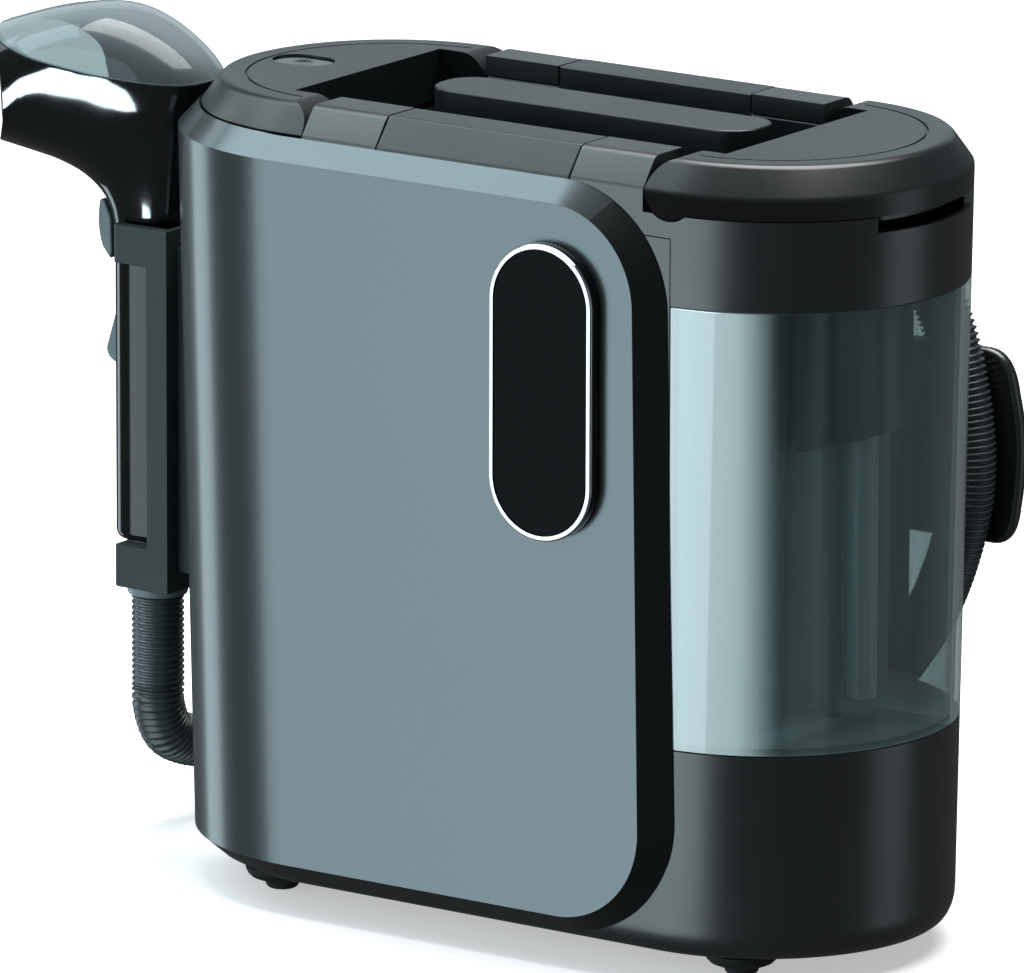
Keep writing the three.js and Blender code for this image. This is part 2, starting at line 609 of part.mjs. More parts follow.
add('front_panel', frontPanel(), 'panel');
add('control_housing', podHousing(), 'gloss');
add('control_ring', podRing(), 'chrome');
add('control_glass', podGlass(), 'glass');
add('control_board', controlBoard(), 'board');

// ---------------------------------------------------------------- tanks, collars and lids
// side is +1 for the clear waste tank at the right and -1 for the clean tank at the left.
const SIDES = {
  right: { side: 1, hinge: RIGHT_HINGE_X, arm: ARM_RIGHT_X, rim: RIM_MID_HALF, recess: RECESS_RIGHT },
  left: { side: -1, hinge: LEFT_HINGE_X, arm: ARM_LEFT_X, rim: -RIM_MID_HALF, recess: RECESS_LEFT },
};

// A cut to the outer side of x at either end.
const outward = (side, x, z0, z1) => (side > 0 ? rightOf(x, z0, z1) : leftOf(x, z0, z1));

// A box from x towards the middle of the machine up to another x, whichever end it is at.
function spanBox(xa, xb, y0, y1, z0, z1) {
  return box(Math.min(xa, xb), Math.max(xa, xb), y0, y1, z0, z1);
}

function bothSides(y0, y1, make) {
  return make(y0, y1).add(make(-y1, -y0));
}

function rimArms({ side, hinge, arm, rim }, joinX) {
  const start = rim + side * GAP;
  const inner = RECESS_HALF_DEPTH + PAN_WALL + GAP;
  const form = bodyWithRim(RIM_BOTTOM_Z);
  const tall = bothSides(inner, FAR, (a, b) => spanBox(start, arm, a, b, RIM_BOTTOM_Z, FAR)).intersect(form);
  const lip = bothSides(RECESS_HALF_DEPTH, inner + 1, (a, b) => spanBox(start, arm, a, b, LIP_Z, FAR))
    .intersect(form);
  const low = bothSides(inner, FAR,
    (a, b) => spanBox(arm - side, joinX, a, b, RIM_BOTTOM_Z, LID_BOTTOM_Z - GAP)).intersect(form);
  const hollow = bothSides(inner + WALL, END_RADIUS - WALL,
    (a, b) => spanBox(start + side * WALL, arm - side * WALL, a, b, RIM_BOTTOM_Z - 1, LIP_Z - 4));
  return union(tall, lip, low).subtract(hollow);
}

// Space in which the rounded end of a lid's wing turns.
function hingeRoom({ hinge }) {
  return bar('y', HINGE_RADIUS + 0.5, -FAR, FAR, [hinge, HINGE_Z], 20);
}

function hingeEars({ hinge }) {
  const y0 = HINGE_EAR_Y - HINGE_EAR / 2;
  const y1 = HINGE_EAR_Y + HINGE_EAR / 2;
  const ear = (a, b) => bar('y', HINGE_EAR_RADIUS, a, b, [hinge, HINGE_Z], 12)
    .add(box(hinge - 5, hinge + 5, a, b, RIM_BOTTOM_Z + 1, HINGE_Z))
    .subtract(bar('y', HINGE_PIN_RADIUS + RUNNING_GAP, a - 1, b + 1, [hinge, HINGE_Z], 10));
  return bothSides(y0, y1, ear);
}

function lid({ side, hinge, arm, recess }) {
  const inner = RECESS_HALF_DEPTH + GAP / 2;
  const form = bodyWithRim(LID_BOTTOM_Z);
  const edge = arm + side * 0.5;
  const top = form.intersect(outward(side, recess + side * 0.3, LID_BOTTOM_Z, FAR));
  const wings = bothSides(inner, FAR, (a, b) => spanBox(hinge, recess + side * 2, a, b, LID_BOTTOM_Z, FAR))
    .intersect(form);
  const wingForm = bodyWithRim(HINGE_Z - HINGE_RADIUS - 1);
  const ends = bothSides(inner, FAR, (a, b) => bar('y', HINGE_RADIUS, a, b, [hinge, HINGE_Z], 20))
    .intersect(wingForm).intersect(outward(side, edge, 0, FAR));
  const skirtForm = body(LID_SKIRT + RIM_CHAMFER - 3, LID_BOTTOM_Z - 1, TOP_Z - LID_TOP_WALL);
  const under = skirtForm.intersect(outward(side, recess + side * LID_SKIRT, 0, FAR));
  const slotY = HINGE_EAR / 2 + 0.5;
  const slots = bothSides(HINGE_EAR_Y - slotY, HINGE_EAR_Y + slotY,
    (a, b) => spanBox(edge - side * 3, hinge + side * (HINGE_EAR_RADIUS + 1), a, b,
      HINGE_Z - HINGE_RADIUS - 2, HINGE_Z + HINGE_EAR_RADIUS + 0.7));
  const pinRoom = HINGE_PIN_LENGTH / 2 + 0.5;
  const pinHoles = bothSides(HINGE_EAR_Y - pinRoom, HINGE_EAR_Y + pinRoom,
    (a, b) => bar('y', HINGE_PIN_RADIUS + RUNNING_GAP, a, b, [hinge, HINGE_Z], 10));
  return union(top, wings, ends).subtract(under).subtract(slots).subtract(pinHoles);
}

function hingePin({ hinge }, y) {
  return bar('y', HINGE_PIN_RADIUS, y - HINGE_PIN_LENGTH / 2, y + HINGE_PIN_LENGTH / 2, [hinge, HINGE_Z], 10);
}

function wasteForm(inset, z0, z1) {
  const clear = NOSE_HALF_DEPTH + GAP + inset;
  return body(inset, z0, z1).intersect(rightOf(TANK_FRONT_X + inset))
    .subtract(box(0, TANK_BACK_X + inset, -clear, clear, z0 - 1, z1 + 1));
}

function wasteTank() {
  return wasteForm(0, DECK_Z + GAP, TANK_TOP_Z)
    .subtract(wasteForm(TANK_WALL, DECK_Z + GAP + TANK_WALL, TANK_TOP_Z + 1));
}

function fingerSlot() {
  const outer = END_RADIUS + 5;
  const inner = END_RADIUS - FINGER_SLOT_DEPTH;
  const shape = new THREE.Shape();
  const a = FINGER_SLOT_ANGLE * DEG;
  shape.absarc(HALF_SPAN, 0, outer, -a, a, false);
  shape.absarc(HALF_SPAN, 0, inner, a, -a, true);
  return slabXY(shape, LID_BOTTOM_Z - FINGER_SLOT_HEIGHT, LID_BOTTOM_Z + 1, 8);
}

function wasteCollar() {
  const z1 = LID_BOTTOM_Z - GAP;
  const ring = wasteForm(0, COLLAR_BOTTOM_Z, z1).subtract(wasteForm(WALL, COLLAR_BOTTOM_Z - 1, z1 - WALL))
    .subtract(collarMouth(SIDES.right, z1));
  const frame = ring.add(rimArms(SIDES.right, TANK_FRONT_X + 4)).subtract(hingeRoom(SIDES.right));
  return frame.add(hingeEars(SIDES.right)).subtract(fingerSlot()).subtract(noseRoom());
}

// Space that the main shell's nose and the recess pan need beside a collar.
function noseRoom() {
  return box(0, TANK_BACK_X, -NOSE_HALF_DEPTH - GAP, NOSE_HALF_DEPTH + GAP, 0, RIM_BOTTOM_Z - GAP / 2);
}

// Filling mouth through the collar's top.
function collarMouth({ side }, z1) {
  return bar('z', MOUTH_RADIUS, z1 - WALL - 1, z1 + 1, [side * (HALF_SPAN + MOUTH_OFFSET), 0], 20);
}

function cleanTank() {
  const inset = WALL + GAP;
  const x = BAY_WALL_X - WALL - GAP;
  const z0 = DECK_Z + GAP;
  const z1 = SHELL_TOP_Z;
  const room = body(inset + TANK_WALL, z0 + TANK_WALL, z1 + 1).intersect(leftOf(x - TANK_WALL));
  const outlet = bar('z', VALVE_HOLE_RADIUS - 1, z0 - 1, z0 + TANK_WALL + 1, [VALVE_X, 0], 16);
  return body(inset, z0, z1).intersect(leftOf(x)).subtract(room).subtract(outlet);
}

function cleanCollar() {
  const z1 = LID_BOTTOM_Z - GAP;
  const x = RECESS_LEFT - PAN_WALL - GAP;
  const plate = body(0, RIM_BOTTOM_Z, z1).intersect(leftOf(x)).subtract(collarMouth(SIDES.left, z1))
    .subtract(body(WALL, RIM_BOTTOM_Z - 1, z1 - WALL).intersect(leftOf(x - WALL)));
  const frame = plate.add(rimArms(SIDES.left, x - 4)).subtract(hingeRoom(SIDES.left));
  return frame.add(hingeEars(SIDES.left));
}

function mouthSeal({ side }) {
  const z0 = LID_BOTTOM_Z;
  const z1 = z0 + SEAL_HEIGHT;
  const r0 = MOUTH_RADIUS + 1;
  const r1 = r0 + SEAL_WIDTH;
  return turned([[r0, z0], [r1, z0], [r1, z1], [r0, z1], [r0, z0]], side * (HALF_SPAN + MOUTH_OFFSET), 0, 20);
}

function latchOutline(grow) {
  const a = LATCH_HALF_LENGTH + grow;
  const b = LATCH_HALF_WIDTH + grow;
  return roundedRectangle(LATCH_X - a, LATCH_X + a, -b, b, b - 0.01);
}

// Beside the front panel the left lid's side stands back, so that it clears the panel as it swings.
function panelRelief() {
  const z1 = PANEL_TOP_Z + GAP;
  return box(-FAR, LEFT_HINGE_X + HINGE_RADIUS + GAP, -FAR, PANEL_END_Y + WALL, 0, z1)
    .subtract(body(LID_RELIEF, 0, z1 + 1));
}

function cleanLid() {
  const opening = slabXY(latchOutline(GAP), TOP_Z - LID_TOP_WALL - 2, TOP_Z + 1, 6);
  return lid(SIDES.left).subtract(opening).subtract(panelRelief());
}

function latchButton() {
  const under = TOP_Z - LID_TOP_WALL - GAP;
  const cap = slabXY(latchOutline(0), under - 1, TOP_Z - 0.8, 6);
  return cap.add(slabXY(latchOutline(LATCH_TRAVEL), under - LATCH_TRAVEL, under, 6));
}

add('waste_tank', wasteTank(), 'clear');
add('waste_collar', wasteCollar(), 'housing');
add('waste_lid', lid(SIDES.right), 'housing');
add('waste_lid_seal', mouthSeal(SIDES.right), 'rubber');
add('waste_lid_pin_front', hingePin(SIDES.right, -HINGE_EAR_Y), 'steel');
add('waste_lid_pin_back', hingePin(SIDES.right, HINGE_EAR_Y), 'steel');
add('clean_tank', cleanTank(), 'clear');
add('clean_collar', cleanCollar(), 'housing');
add('clean_lid', cleanLid(), 'housing');
add('clean_lid_seal', mouthSeal(SIDES.left), 'rubber');
add('clean_lid_pin_front', hingePin(SIDES.left, -HINGE_EAR_Y), 'steel');
add('clean_lid_pin_back', hingePin(SIDES.left, HINGE_EAR_Y), 'steel');
add('clean_lid_button', latchButton(), 'gloss');

// ---------------------------------------------------------------- inside the clear tank
const SEPARATOR = {
  x0: HALF_SPAN + 20.1, x1: HALF_SPAN + 53.1, y: 17, bottom: TOP_Z - 125, rise: 10, wall: 2,
};
const SUCTION_PIPE = { x: SEPARATOR.x0 + 7, radius: 4.6, bottom: DECK_Z + 4 };
const RETURN_PIPE = { x: SEPARATOR.x0 + 21, radius: 6.2, bottom: DECK_Z + 12 };
const PIPE_RISE = 10; // how far the pipes stand up inside the separator
const SEPARATOR_TOP_Z = COLLAR_BOTTOM_Z + 8;
const FLOAT_TOP_Z = SEPARATOR_TOP_Z - 22;

function separatorOutline(inset) {
  const { x0, x1, bottom, rise } = SEPARATOR;
  const top = SEPARATOR_TOP_Z - inset;
  const outline = new THREE.Shape();
  outline.moveTo(x0 + inset, bottom + inset * 1.3);
  outline.lineTo(x1 - inset, bottom + rise + inset * 0.7);
  outline.lineTo(x1 - inset, top);
  outline.lineTo(x0 + inset, top);
  return outline;
}

// Dark block that hangs from the collar by two straps and parts the water from the air.
function separator() {
  const { x0, x1, y, bottom, wall } = SEPARATOR;
  const room = slabXZ(separatorOutline(wall), -y + wall, y - wall);
  const vent = box(x0 + 8, x1 - 8, -y + 6, y - 6, COLLAR_BOTTOM_Z, TOP_Z);
  const straps = bothSides(y - wall, y, (a, b) => box(x0, x0 + 6, a, b, SEPARATOR_TOP_Z - 1,
    LID_BOTTOM_Z - GAP - WALL - GAP));
  const holes = [SUCTION_PIPE, RETURN_PIPE].map(({ x, radius }) => (
    bar('z', radius + RUNNING_GAP, bottom - 1, bottom + PIPE_RISE, [x, 0], 16)));
  return slabXZ(separatorOutline(0), -y, y).subtract(union(room, vent, ...holes)).add(straps);
}

function pipe({ x, radius, bottom }) {
  const top = SEPARATOR.bottom + PIPE_RISE;
  return bar('z', radius, bottom, top, [x, 0], 16)
    .subtract(bar('z', radius - PIPE_WALL, bottom - 1, top + 1, [x, 0], 16));
}

// Float that rises in the separator and shuts the air path when the tank is full.
function floatValve() {
  const z = FLOAT_TOP_Z;
  const profile = [[0, -36], [8, -36], [11, -33], [11, -14], [8, -10], [3, -9], [3, 0], [0, 0]];
  return turned(profile.map(([r, dz]) => [r, z + dz]), (SEPARATOR.x0 + SEPARATOR.x1) / 2, 0, 14);
}

add('separator_block', separator(), 'housing');
add('suction_pipe', pipe(SUCTION_PIPE), 'clear');
add('return_pipe', pipe(RETURN_PIPE), 'clear');
add('float_valve', floatValve(), 'white');

// ---------------------------------------------------------------- water: valve, line and pump
const PUMP = { x0: -84, x1: -44, y: 18, z0: BOTTOM_Z + WALL + GAP, z1: 50 };
const STEM_RADIUS = 3;

function valvePlunger() {
  const seat = DECK_Z + GAP + TANK_WALL + 0.2;
  const head = VALVE_HOLE_RADIUS + 2;
  return turned([[0, DECK_Z - 4], [STEM_RADIUS, DECK_Z - 4], [STEM_RADIUS, seat], [head, seat],
    [head, seat + 2], [STEM_RADIUS, seat + 6], [STEM_RADIUS, seat + 12], [0, seat + 12]], VALVE_X, 0, 16);
}

// Cup under the clean tank's valve, with the line that leads from it to the pump.
function waterLine() {
  const top = DECK_Z - 8;
  const rim = VALVE_HOLE_RADIUS - GAP;
  const cup = turned([[0, top - 8], [4, top - 8], [rim, top - 2], [rim, DECK_Z - GAP],
    [rim - 2, DECK_Z - GAP], [rim - 2, top - 1], [0, top - 4]], VALVE_X, 0, 16);
  const drop = PUMP.z1 - PUMP.z0;
  const line = tube([[VALVE_X, 0, top - 7], [VALVE_X, 0, top - 16], [VALVE_X + 6, 0, PUMP.z0 + drop],
    [(VALVE_X + PUMP.x0) / 2, 0, PUMP.z0 + drop * 0.6], [PUMP.x0 - 1, 0, PUMP.z0 + drop * 0.5]],
  STEM_RADIUS, 8, 10);
  return cup.add(line);
}

function waterPump() {
  const { x0, x1, y, z0, z1 } = PUMP;
  const head = bar('x', y - 2, x1 - 1, x1 + 16, [0, (z0 + z1) / 2], 16);
  return box(x0, x1, -y, y, z0, z1).add(head);
}

add('valve_plunger', valvePlunger(), 'white');
add('water_line', waterLine(), 'clear');
add('water_pump', waterPump(), 'housing');

// ---------------------------------------------------------------- fan and motor
const FAN_BOTTOM_Z = DECK_Z + GAP;

function fanHousing() {
  const z0 = FAN_BOTTOM_Z;
  const z1 = z0 + FAN_HEIGHT;
  const hole = SHAFT_RADIUS + 2;
  return turned([
    [FAN_EYE, z0], [FAN_RADIUS, z0], [FAN_RADIUS, z1], [hole, z1], [hole, z1 - FAN_WALL],
    [FAN_RADIUS - FAN_WALL, z1 - FAN_WALL], [FAN_RADIUS - FAN_WALL, z0 + FAN_WALL], [FAN_EYE, z0 + FAN_WALL],
    [FAN_EYE, z0],
  ], MOTOR_X, 0, 20);
}

function impeller() {
  const z0 = FAN_BOTTOM_Z + FAN_WALL + 3;
  const z1 = FAN_BOTTOM_Z + FAN_HEIGHT - FAN_WALL - 4;
  const bore = SHAFT_RADIUS + RUNNING_GAP;
  const rim = FAN_RADIUS - FAN_WALL - 4;
  const hub = bore + 5;
  let wheel = turned([[bore, z0], [hub, z0], [hub, z1 - 2], [rim, z1 - 2], [rim, z1], [bore, z1], [bore, z0]],
    MOTOR_X, 0, 18);
  for (let i = 0; i < FAN_BLADES; i += 1) {
    const blade = new THREE.BoxGeometry(rim - hub, 1.6, z1 - z0 - 3);
    blade.translate(hub - 1 + (rim - hub) / 2, 0, (z0 + z1) / 2);
    blade.rotateZ((i / FAN_BLADES) * Math.PI * 2);
    blade.translate(MOTOR_X, 0, 0);
    wheel = wheel.add(solid(blade));
  }
  return wheel;
}

function motorBody() {
  const z0 = FAN_BOTTOM_Z + FAN_HEIGHT + GAP;
  const z1 = z0 + MOTOR_HEIGHT;
  const bore = SHAFT_RADIUS + GAP;
  return turned([[0, z0 + 16], [bore, z0 + 16], [bore, z0], [MOTOR_RADIUS, z0], [MOTOR_RADIUS, z1 - 14],
    [MOTOR_RADIUS - 8, z1], [0, z1]], MOTOR_X, 0, 18);
}

function motorShaft() {
  const z0 = FAN_BOTTOM_Z + FAN_WALL + 2;
  return bar('z', SHAFT_RADIUS, z0, FAN_BOTTOM_Z + FAN_HEIGHT + 14, [MOTOR_X, 0], 12);
}

// Duct that carries the sucked-up water from the inlet to the clear tank.
function suctionDuct() {
  const high = RECESS_FLOOR_Z - 20;
  const y = END_RADIUS - 19;
  return tube([[INLET_X, END_RADIUS - WALL - 5, INLET_Z], [INLET_X, y + 3, INLET_Z],
    [INLET_X + 10, y, INLET_Z + 23], [MOTOR_X, y, INLET_Z + 65], [HALF_SPAN - 41, y - 8, high - 20],
    [HALF_SPAN - 11, 26, high - 2], [HALF_SPAN + 1, 4, high], [HALF_SPAN + 5, 0, high]], 8.5, 8, 14);
}

add('fan_housing', fanHousing(), 'housing');
add('impeller', impeller(), 'white');
add('motor_body', motorBody(), 'steel');
add('motor_shaft', motorShaft(), 'steel');
add('suction_duct', suctionDuct(), 'hose');

// ---------------------------------------------------------------- tool dock
function toolDock() {
  const x1 = DOCK_BACK_X + DOCK_WALL;
  const y = DOCK_HALF_DEPTH;
  const clipX = TOOL_X - DOCK_CLIP_REACH;
  const lowerTop = DOCK_BOTTOM_Z + DOCK_LOWER_CLIP_HEIGHT;
  const upperBottom = DOCK_TOP_Z - DOCK_UPPER_CLIP_HEIGHT;
  const channel = box(TOOL_X + DOCK_SIDE_SETBACK, x1, -y, y, DOCK_BOTTOM_Z, DOCK_TOP_Z)
    .subtract(box(TOOL_X, DOCK_BACK_X, -y + DOCK_WALL, y - DOCK_WALL, DOCK_BOTTOM_Z - 1, DOCK_TOP_Z + 1));
  const clip = (z0, z1) => slabXY(roundedRectangle(clipX, x1, -y, y, 3), z0, z1, 3);
  const slot = HOSE_DIAMETER / 2 + 0.5;
  const cuffRoom = bar('z', CUFF_RADIUS + 0.6, DOCK_BOTTOM_Z - 1, lowerTop + 1, [TOOL_X, 0], 20)
    .add(box(clipX - 1, TOOL_X, -slot, slot, DOCK_BOTTOM_Z - 1, lowerTop + 1));
  const handleY = HANDLE_DEPTH / 2 + 1.8;
  const handleRoom = box(clipX - 1, DOCK_BACK_X, -handleY, handleY, upperBottom - 1, DOCK_TOP_Z + 1);
  const stemY = DOCK_STEM_HALF_DEPTH;
  const stemTop = DOCK_TOP_Z - 8;
  const stemBottom = DOCK_BOTTOM_Z + 8;
  const stem = box(x1 - 1, -HALF_SPAN - END_RADIUS + 15, -stemY, stemY, stemBottom, stemTop)
    .subtract(body(-GAP, 0, TOP_Z));
  const stemRoom = box(x1 + WALL, 0, -stemY + WALL, stemY - WALL, stemBottom + WALL, stemTop - WALL);
  return union(channel, clip(DOCK_BOTTOM_Z, lowerTop).subtract(cuffRoom),
    clip(upperBottom, DOCK_TOP_Z).subtract(handleRoom), stem.subtract(stemRoom));
}

add('tool_dock', toolDock(), 'housing');

// ---------------------------------------------------------------- hand tool
// Places in the tool are given from the point where its axis meets the head's underside.
const inTool = ([x, z]) => [TOOL_X + x, HEAD_Z + z];
const TRIGGER_PIVOT = inTool([-8.5, -35]);
const TOOL_RING_POINTS = 20;
const TOOL_RING_POWER = 2 / 2.6;

// Sections of the head from its neck to its mouth. Each one goes from a low front point to a high
// rear point; width is half of its breadth, and bulge brings its sides forward or back.
const HEAD_SECTIONS = [
  { low: [-16, 0], high: [16, 0], width: 15, bulge: 0 },
  { low: [-18, 7], high: [20, 23], width: 16.5, bulge: 0 },
  { low: [-22.5, 13.5], high: [25.5, 48], width: 20, bulge: 0 },
  { low: [-30, 19.5], high: [27, 67], width: 25, bulge: 0 },
  { low: [-40, 23.5], high: [7, 82], width: 29.5, bulge: 1 },
  { low: [-52, 26], high: [-19, 89.5], width: 33.5, bulge: 5 },
  { low: [-62, 28], high: [-46, 86.5], width: 36.5, bulge: 12 },
  { low: [-70, 29.5], high: [-73, 78], width: 38, bulge: 22 },
];

// A rounded ring of points through the tool between its low and high points.
function toolRing({ low, high, width, bulge }, inset = 0) {
  const [lx, lz] = inTool(low);
  const [hx, hz] = inTool(high);
  const half = Math.hypot(hx - lx, hz - lz) / 2;
  const ux = ((hx - lx) / 2) * ((half - inset) / half);
  const uz = ((hz - lz) / 2) * ((half - inset) / half);
  const power = (value) => Math.sign(value) * Math.abs(value) ** TOOL_RING_POWER;
  const ring = [];
  for (let i = 0; i < TOOL_RING_POINTS; i += 1) {
    const a = (i / TOOL_RING_POINTS) * Math.PI * 2;
    const c = power(Math.cos(a));
    const s = power(Math.sin(a));
    const x = (lx + hx) / 2 + ux * c + bulge * s * s;
    ring.push(new THREE.Vector3(x, (width - inset) * s, (lz + hz) / 2 + uz * c));
  }
  return ring;
}

// A section moved along, so that a cutting form runs out of the head's open ends.
function moved(section, [dx, dz]) {
  const shift = ([x, z]) => [x + dx, z + dz];
  return { ...section, low: shift(section.low), high: shift(section.high) };
}

function headForm(inset) {
  const rings = HEAD_SECTIONS.map((section) => toolRing(section, inset));
  if (inset > 0) {
    rings.push(toolRing(moved(HEAD_SECTIONS[HEAD_SECTIONS.length - 1], [-16, 0]), inset));
    rings.unshift(toolRing(moved(HEAD_SECTIONS[0], [0, -3]), inset));
  }
  return stack(rings);
}

// The head above its sloping seam is the clear window.
function aboveSeam(lift) {
  const seam = new THREE.Shape();
  const line = [[-89, 79], [-11, 65.5], [29, 63.5], [61, 66]];
  line.map(([x, z]) => inTool([x, z + lift])).forEach(([x, z], i) => {
    if (i === 0) seam.moveTo(x, z);
    else seam.lineTo(x, z);
  });
  seam.lineTo(...inTool([61, 110]));
  seam.lineTo(...inTool([-89, 110]));
  return slabXZ(seam, -60, 60);
}

// The largest of the pieces that a cut leaves.
function mainPiece(shape) {
  return shape.decompose().sort((a, b) => b.volume() - a.volume())[0];
}

function toolHandle() {
  const length = HANDLE_TOP_Z - HANDLE_BOTTOM_Z;
  const section = HEAD_SECTIONS[0];
  const form = stack([toolRing(moved(section, [0, -GAP - length]), 1.4),
    toolRing(moved(section, [0, -GAP - length + 3])), toolRing(moved(section, [0, -GAP]))]);
  const [pivotX, pivotZ] = TRIGGER_PIVOT;
  const pocketY = TRIGGER_HALF_WIDTH + GAP;
  const pocket = box(pivotX - 14, pivotX + 8, -pocketY, pocketY, pivotZ - 27, pivotZ + 7);
  const pinHole = bar('y', PIN_RADIUS + RUNNING_GAP, -10, 10, TRIGGER_PIVOT, 10);
  const cuffRoom = bar('z', CUFF_RADIUS + GAP, HANDLE_BOTTOM_Z - 1, CUFF_TOP_Z + GAP, [TOOL_X, 0], 20);
  const bore = bar('z', 5.5, CUFF_TOP_Z, HEAD_Z, [TOOL_X + 7.5, 0], 14);
  return form.subtract(pocket).subtract(pinHole).subtract(cuffRoom).subtract(bore);
}

function trigger() {
  const outline = new THREE.Shape();
  outline.moveTo(...inTool([-5.5, -31]));
  outline.lineTo(...inTool([-12.5, -30.5]));
  outline.lineTo(...inTool([-16.4, -36]));
  outline.lineTo(...inTool([-21.4, -52]));
  outline.quadraticCurveTo(...inTool([-21.6, -56.5]), ...inTool([-17, -58]));
  outline.lineTo(...inTool([-8.5, -57.5]));
  outline.lineTo(...inTool([-5.5, -52]));
  return slabXZ(outline, -TRIGGER_HALF_WIDTH, TRIGGER_HALF_WIDTH, 5)
    .subtract(bar('y', PIN_RADIUS + RUNNING_GAP, -10, 10, TRIGGER_PIVOT, 10));
}

// Lever in front of the neck that lets the head off the handle.
function headLever() {
  const outline = new THREE.Shape();
  outline.moveTo(...inTool([-18.2, 2]));
  outline.lineTo(...inTool([-21.6, 9.6]));
  outline.lineTo(...inTool([-23.8, 9.6]));
  outline.quadraticCurveTo(...inTool([-26, -2]), ...inTool([-22.6, -10]));
  outline.lineTo(...inTool([-18.6, -15]));
  outline.lineTo(...inTool([-17.8, -12]));
  return slabXZ(outline, -LEVER_HALF_WIDTH, LEVER_HALF_WIDTH, 5);
}

function hoseCuff() {
  const r = CUFF_RADIUS;
  return turned([[0, CUFF_BOTTOM_Z], [r - 1.6, CUFF_BOTTOM_Z], [r, CUFF_BOTTOM_Z + 2], [r, CUFF_TOP_Z],
    [0, CUFF_TOP_Z]], TOOL_X, 0, 20);
}

function sprayTip() {
  const [x, z] = inTool([-42, 31]);
  const profile = [[0, 0], [3, 0], [3, 16], [5, 18], [5, 24], [2.4, 28], [0, 28]];
  return turned(profile.map(([r, dz]) => [r, z + dz]), x, 0, 12);
}

const headShell = headForm(0).subtract(headForm(HEAD_WALL));

add('tool_handle', toolHandle(), 'gloss');
add('tool_trigger', trigger(), 'grey');
add('trigger_pin', bar('y', PIN_RADIUS, -9.6, 9.6, TRIGGER_PIVOT, 10), 'steel');
add('head_release_lever', headLever(), 'grey');
add('nozzle_head', mainPiece(headShell.subtract(aboveSeam(0))), 'gloss');
add('nozzle_window', mainPiece(headShell.intersect(aboveSeam(RUNNING_GAP))), 'clear');
add('spray_tip', sprayTip(), 'grey');
add('hose_cuff', hoseCuff(), 'grey');

// ---------------------------------------------------------------- hose and its cradle
// Wound turns, as shares of the half span and of the height: along the floor to the right, up, over
// the top, and down again at the left towards the inlet.
const WOUND = [
  [-1.263, 0.091], [-0.964, 0.094], [-0.642, 0.1], [-0.321, 0.112], [0, 0.13], [0.321, 0.158],
  [0.621, 0.197], [0.878, 0.255], [1.092, 0.33], [1.242, 0.418], [1.328, 0.521], [1.306, 0.624],
  [1.199, 0.727], [0.996, 0.812], [0.696, 0.867], [0.353, 0.888], [0, 0.894], [-0.353, 0.888],
  [-0.696, 0.867], [-0.996, 0.812], [-1.199, 0.727], [-1.306, 0.624], [-1.317, 0.533], [-1.231, 0.452],
  [-1.06, 0.391], [-0.824, 0.358],
];

// The hose's centre line, from below the tool to the elbow on the body's back.
function hosePoints() {
  const points = [[TOOL_X, 0, HOSE_RISER_BOTTOM_Z - GAP], [TOOL_X, 0, HOSE_RISER_BOTTOM_Z - 8]];
  const turnX = WOUND[0][0] * HALF_SPAN - TOOL_X;
  for (const degrees of [3.5, 9.5, 19, 31, 44, 58.5, 73]) {
    const back = Math.sin(degrees * DEG);
    const drop = 17 * (1 - back) ** 6;
    const x = TOOL_X + turnX * (1 - Math.cos(degrees * DEG));
    points.push([x, HOSE_Y * back, HOSE_LOW_Z + 1.5 * back + drop]);
  }
  for (const [x, z] of WOUND) points.push([x * HALF_SPAN, HOSE_Y, z * TOP_Z]);
  points.push([INLET_X - 34, HOSE_Y, INLET_Z], [INLET_X - 26, HOSE_Y, INLET_Z]);
  return points;
}

function inletElbow() {
  const r = HOSE_DIAMETER / 2 + 0.3;
  const arm = bar('x', r, INLET_X - 26 + GAP, INLET_X, [HOSE_Y, INLET_Z], 16);
  const corner = new THREE.SphereGeometry(r, 16, 8);
  corner.rotateX(Math.PI / 2);
  corner.translate(INLET_X, HOSE_Y, INLET_Z);
  const spigot = bar('y', INLET_RADIUS, END_RADIUS - WALL - 2, HOSE_Y, [INLET_X, INLET_Z], 20);
  return union(arm, solid(corner), spigot);
}

function hoseCradle() {
  const y0 = END_RADIUS + 0.6;
  const y1 = y0 + CRADLE_THICKNESS;
  const armEnd = HOOK_Y - GAP;
  const w = CRADLE_HALF_WIDTH;
  const z0 = HOOK_CENTRE_Z - HOOK_ARM_HEIGHT / 2;
  const z1 = z0 + HOOK_ARM_HEIGHT;
  const plate = slabXZ(roundedRectangle(-w, w, CRADLE_BOTTOM_Z, CRADLE_TOP_Z, CRADLE_CORNER), y0, y1, 4);
  const arm = (side, inset, from, to) => {
    const x0 = Math.min(side * HOOK_INNER_X, side * HOOK_ARM_OUTER_X) + inset;
    const x1 = Math.max(side * HOOK_INNER_X, side * HOOK_ARM_OUTER_X) - inset;
    return slabXZ(roundedRectangle(x0, x1, z0 + inset, z1 - inset, 16 - inset), from, to, 3);
  };
  const inlet = bar('y', INLET_RADIUS + 2, y0 - 1, y1 + 1, [INLET_X, INLET_Z], 16);
  return union(plate, arm(1, 0, y0, armEnd), arm(-1, 0, y0, armEnd)).subtract(inlet)
    .subtract(arm(1, WALL, y0 - 1, armEnd - WALL)).subtract(arm(-1, WALL, y0 - 1, armEnd - WALL));
}

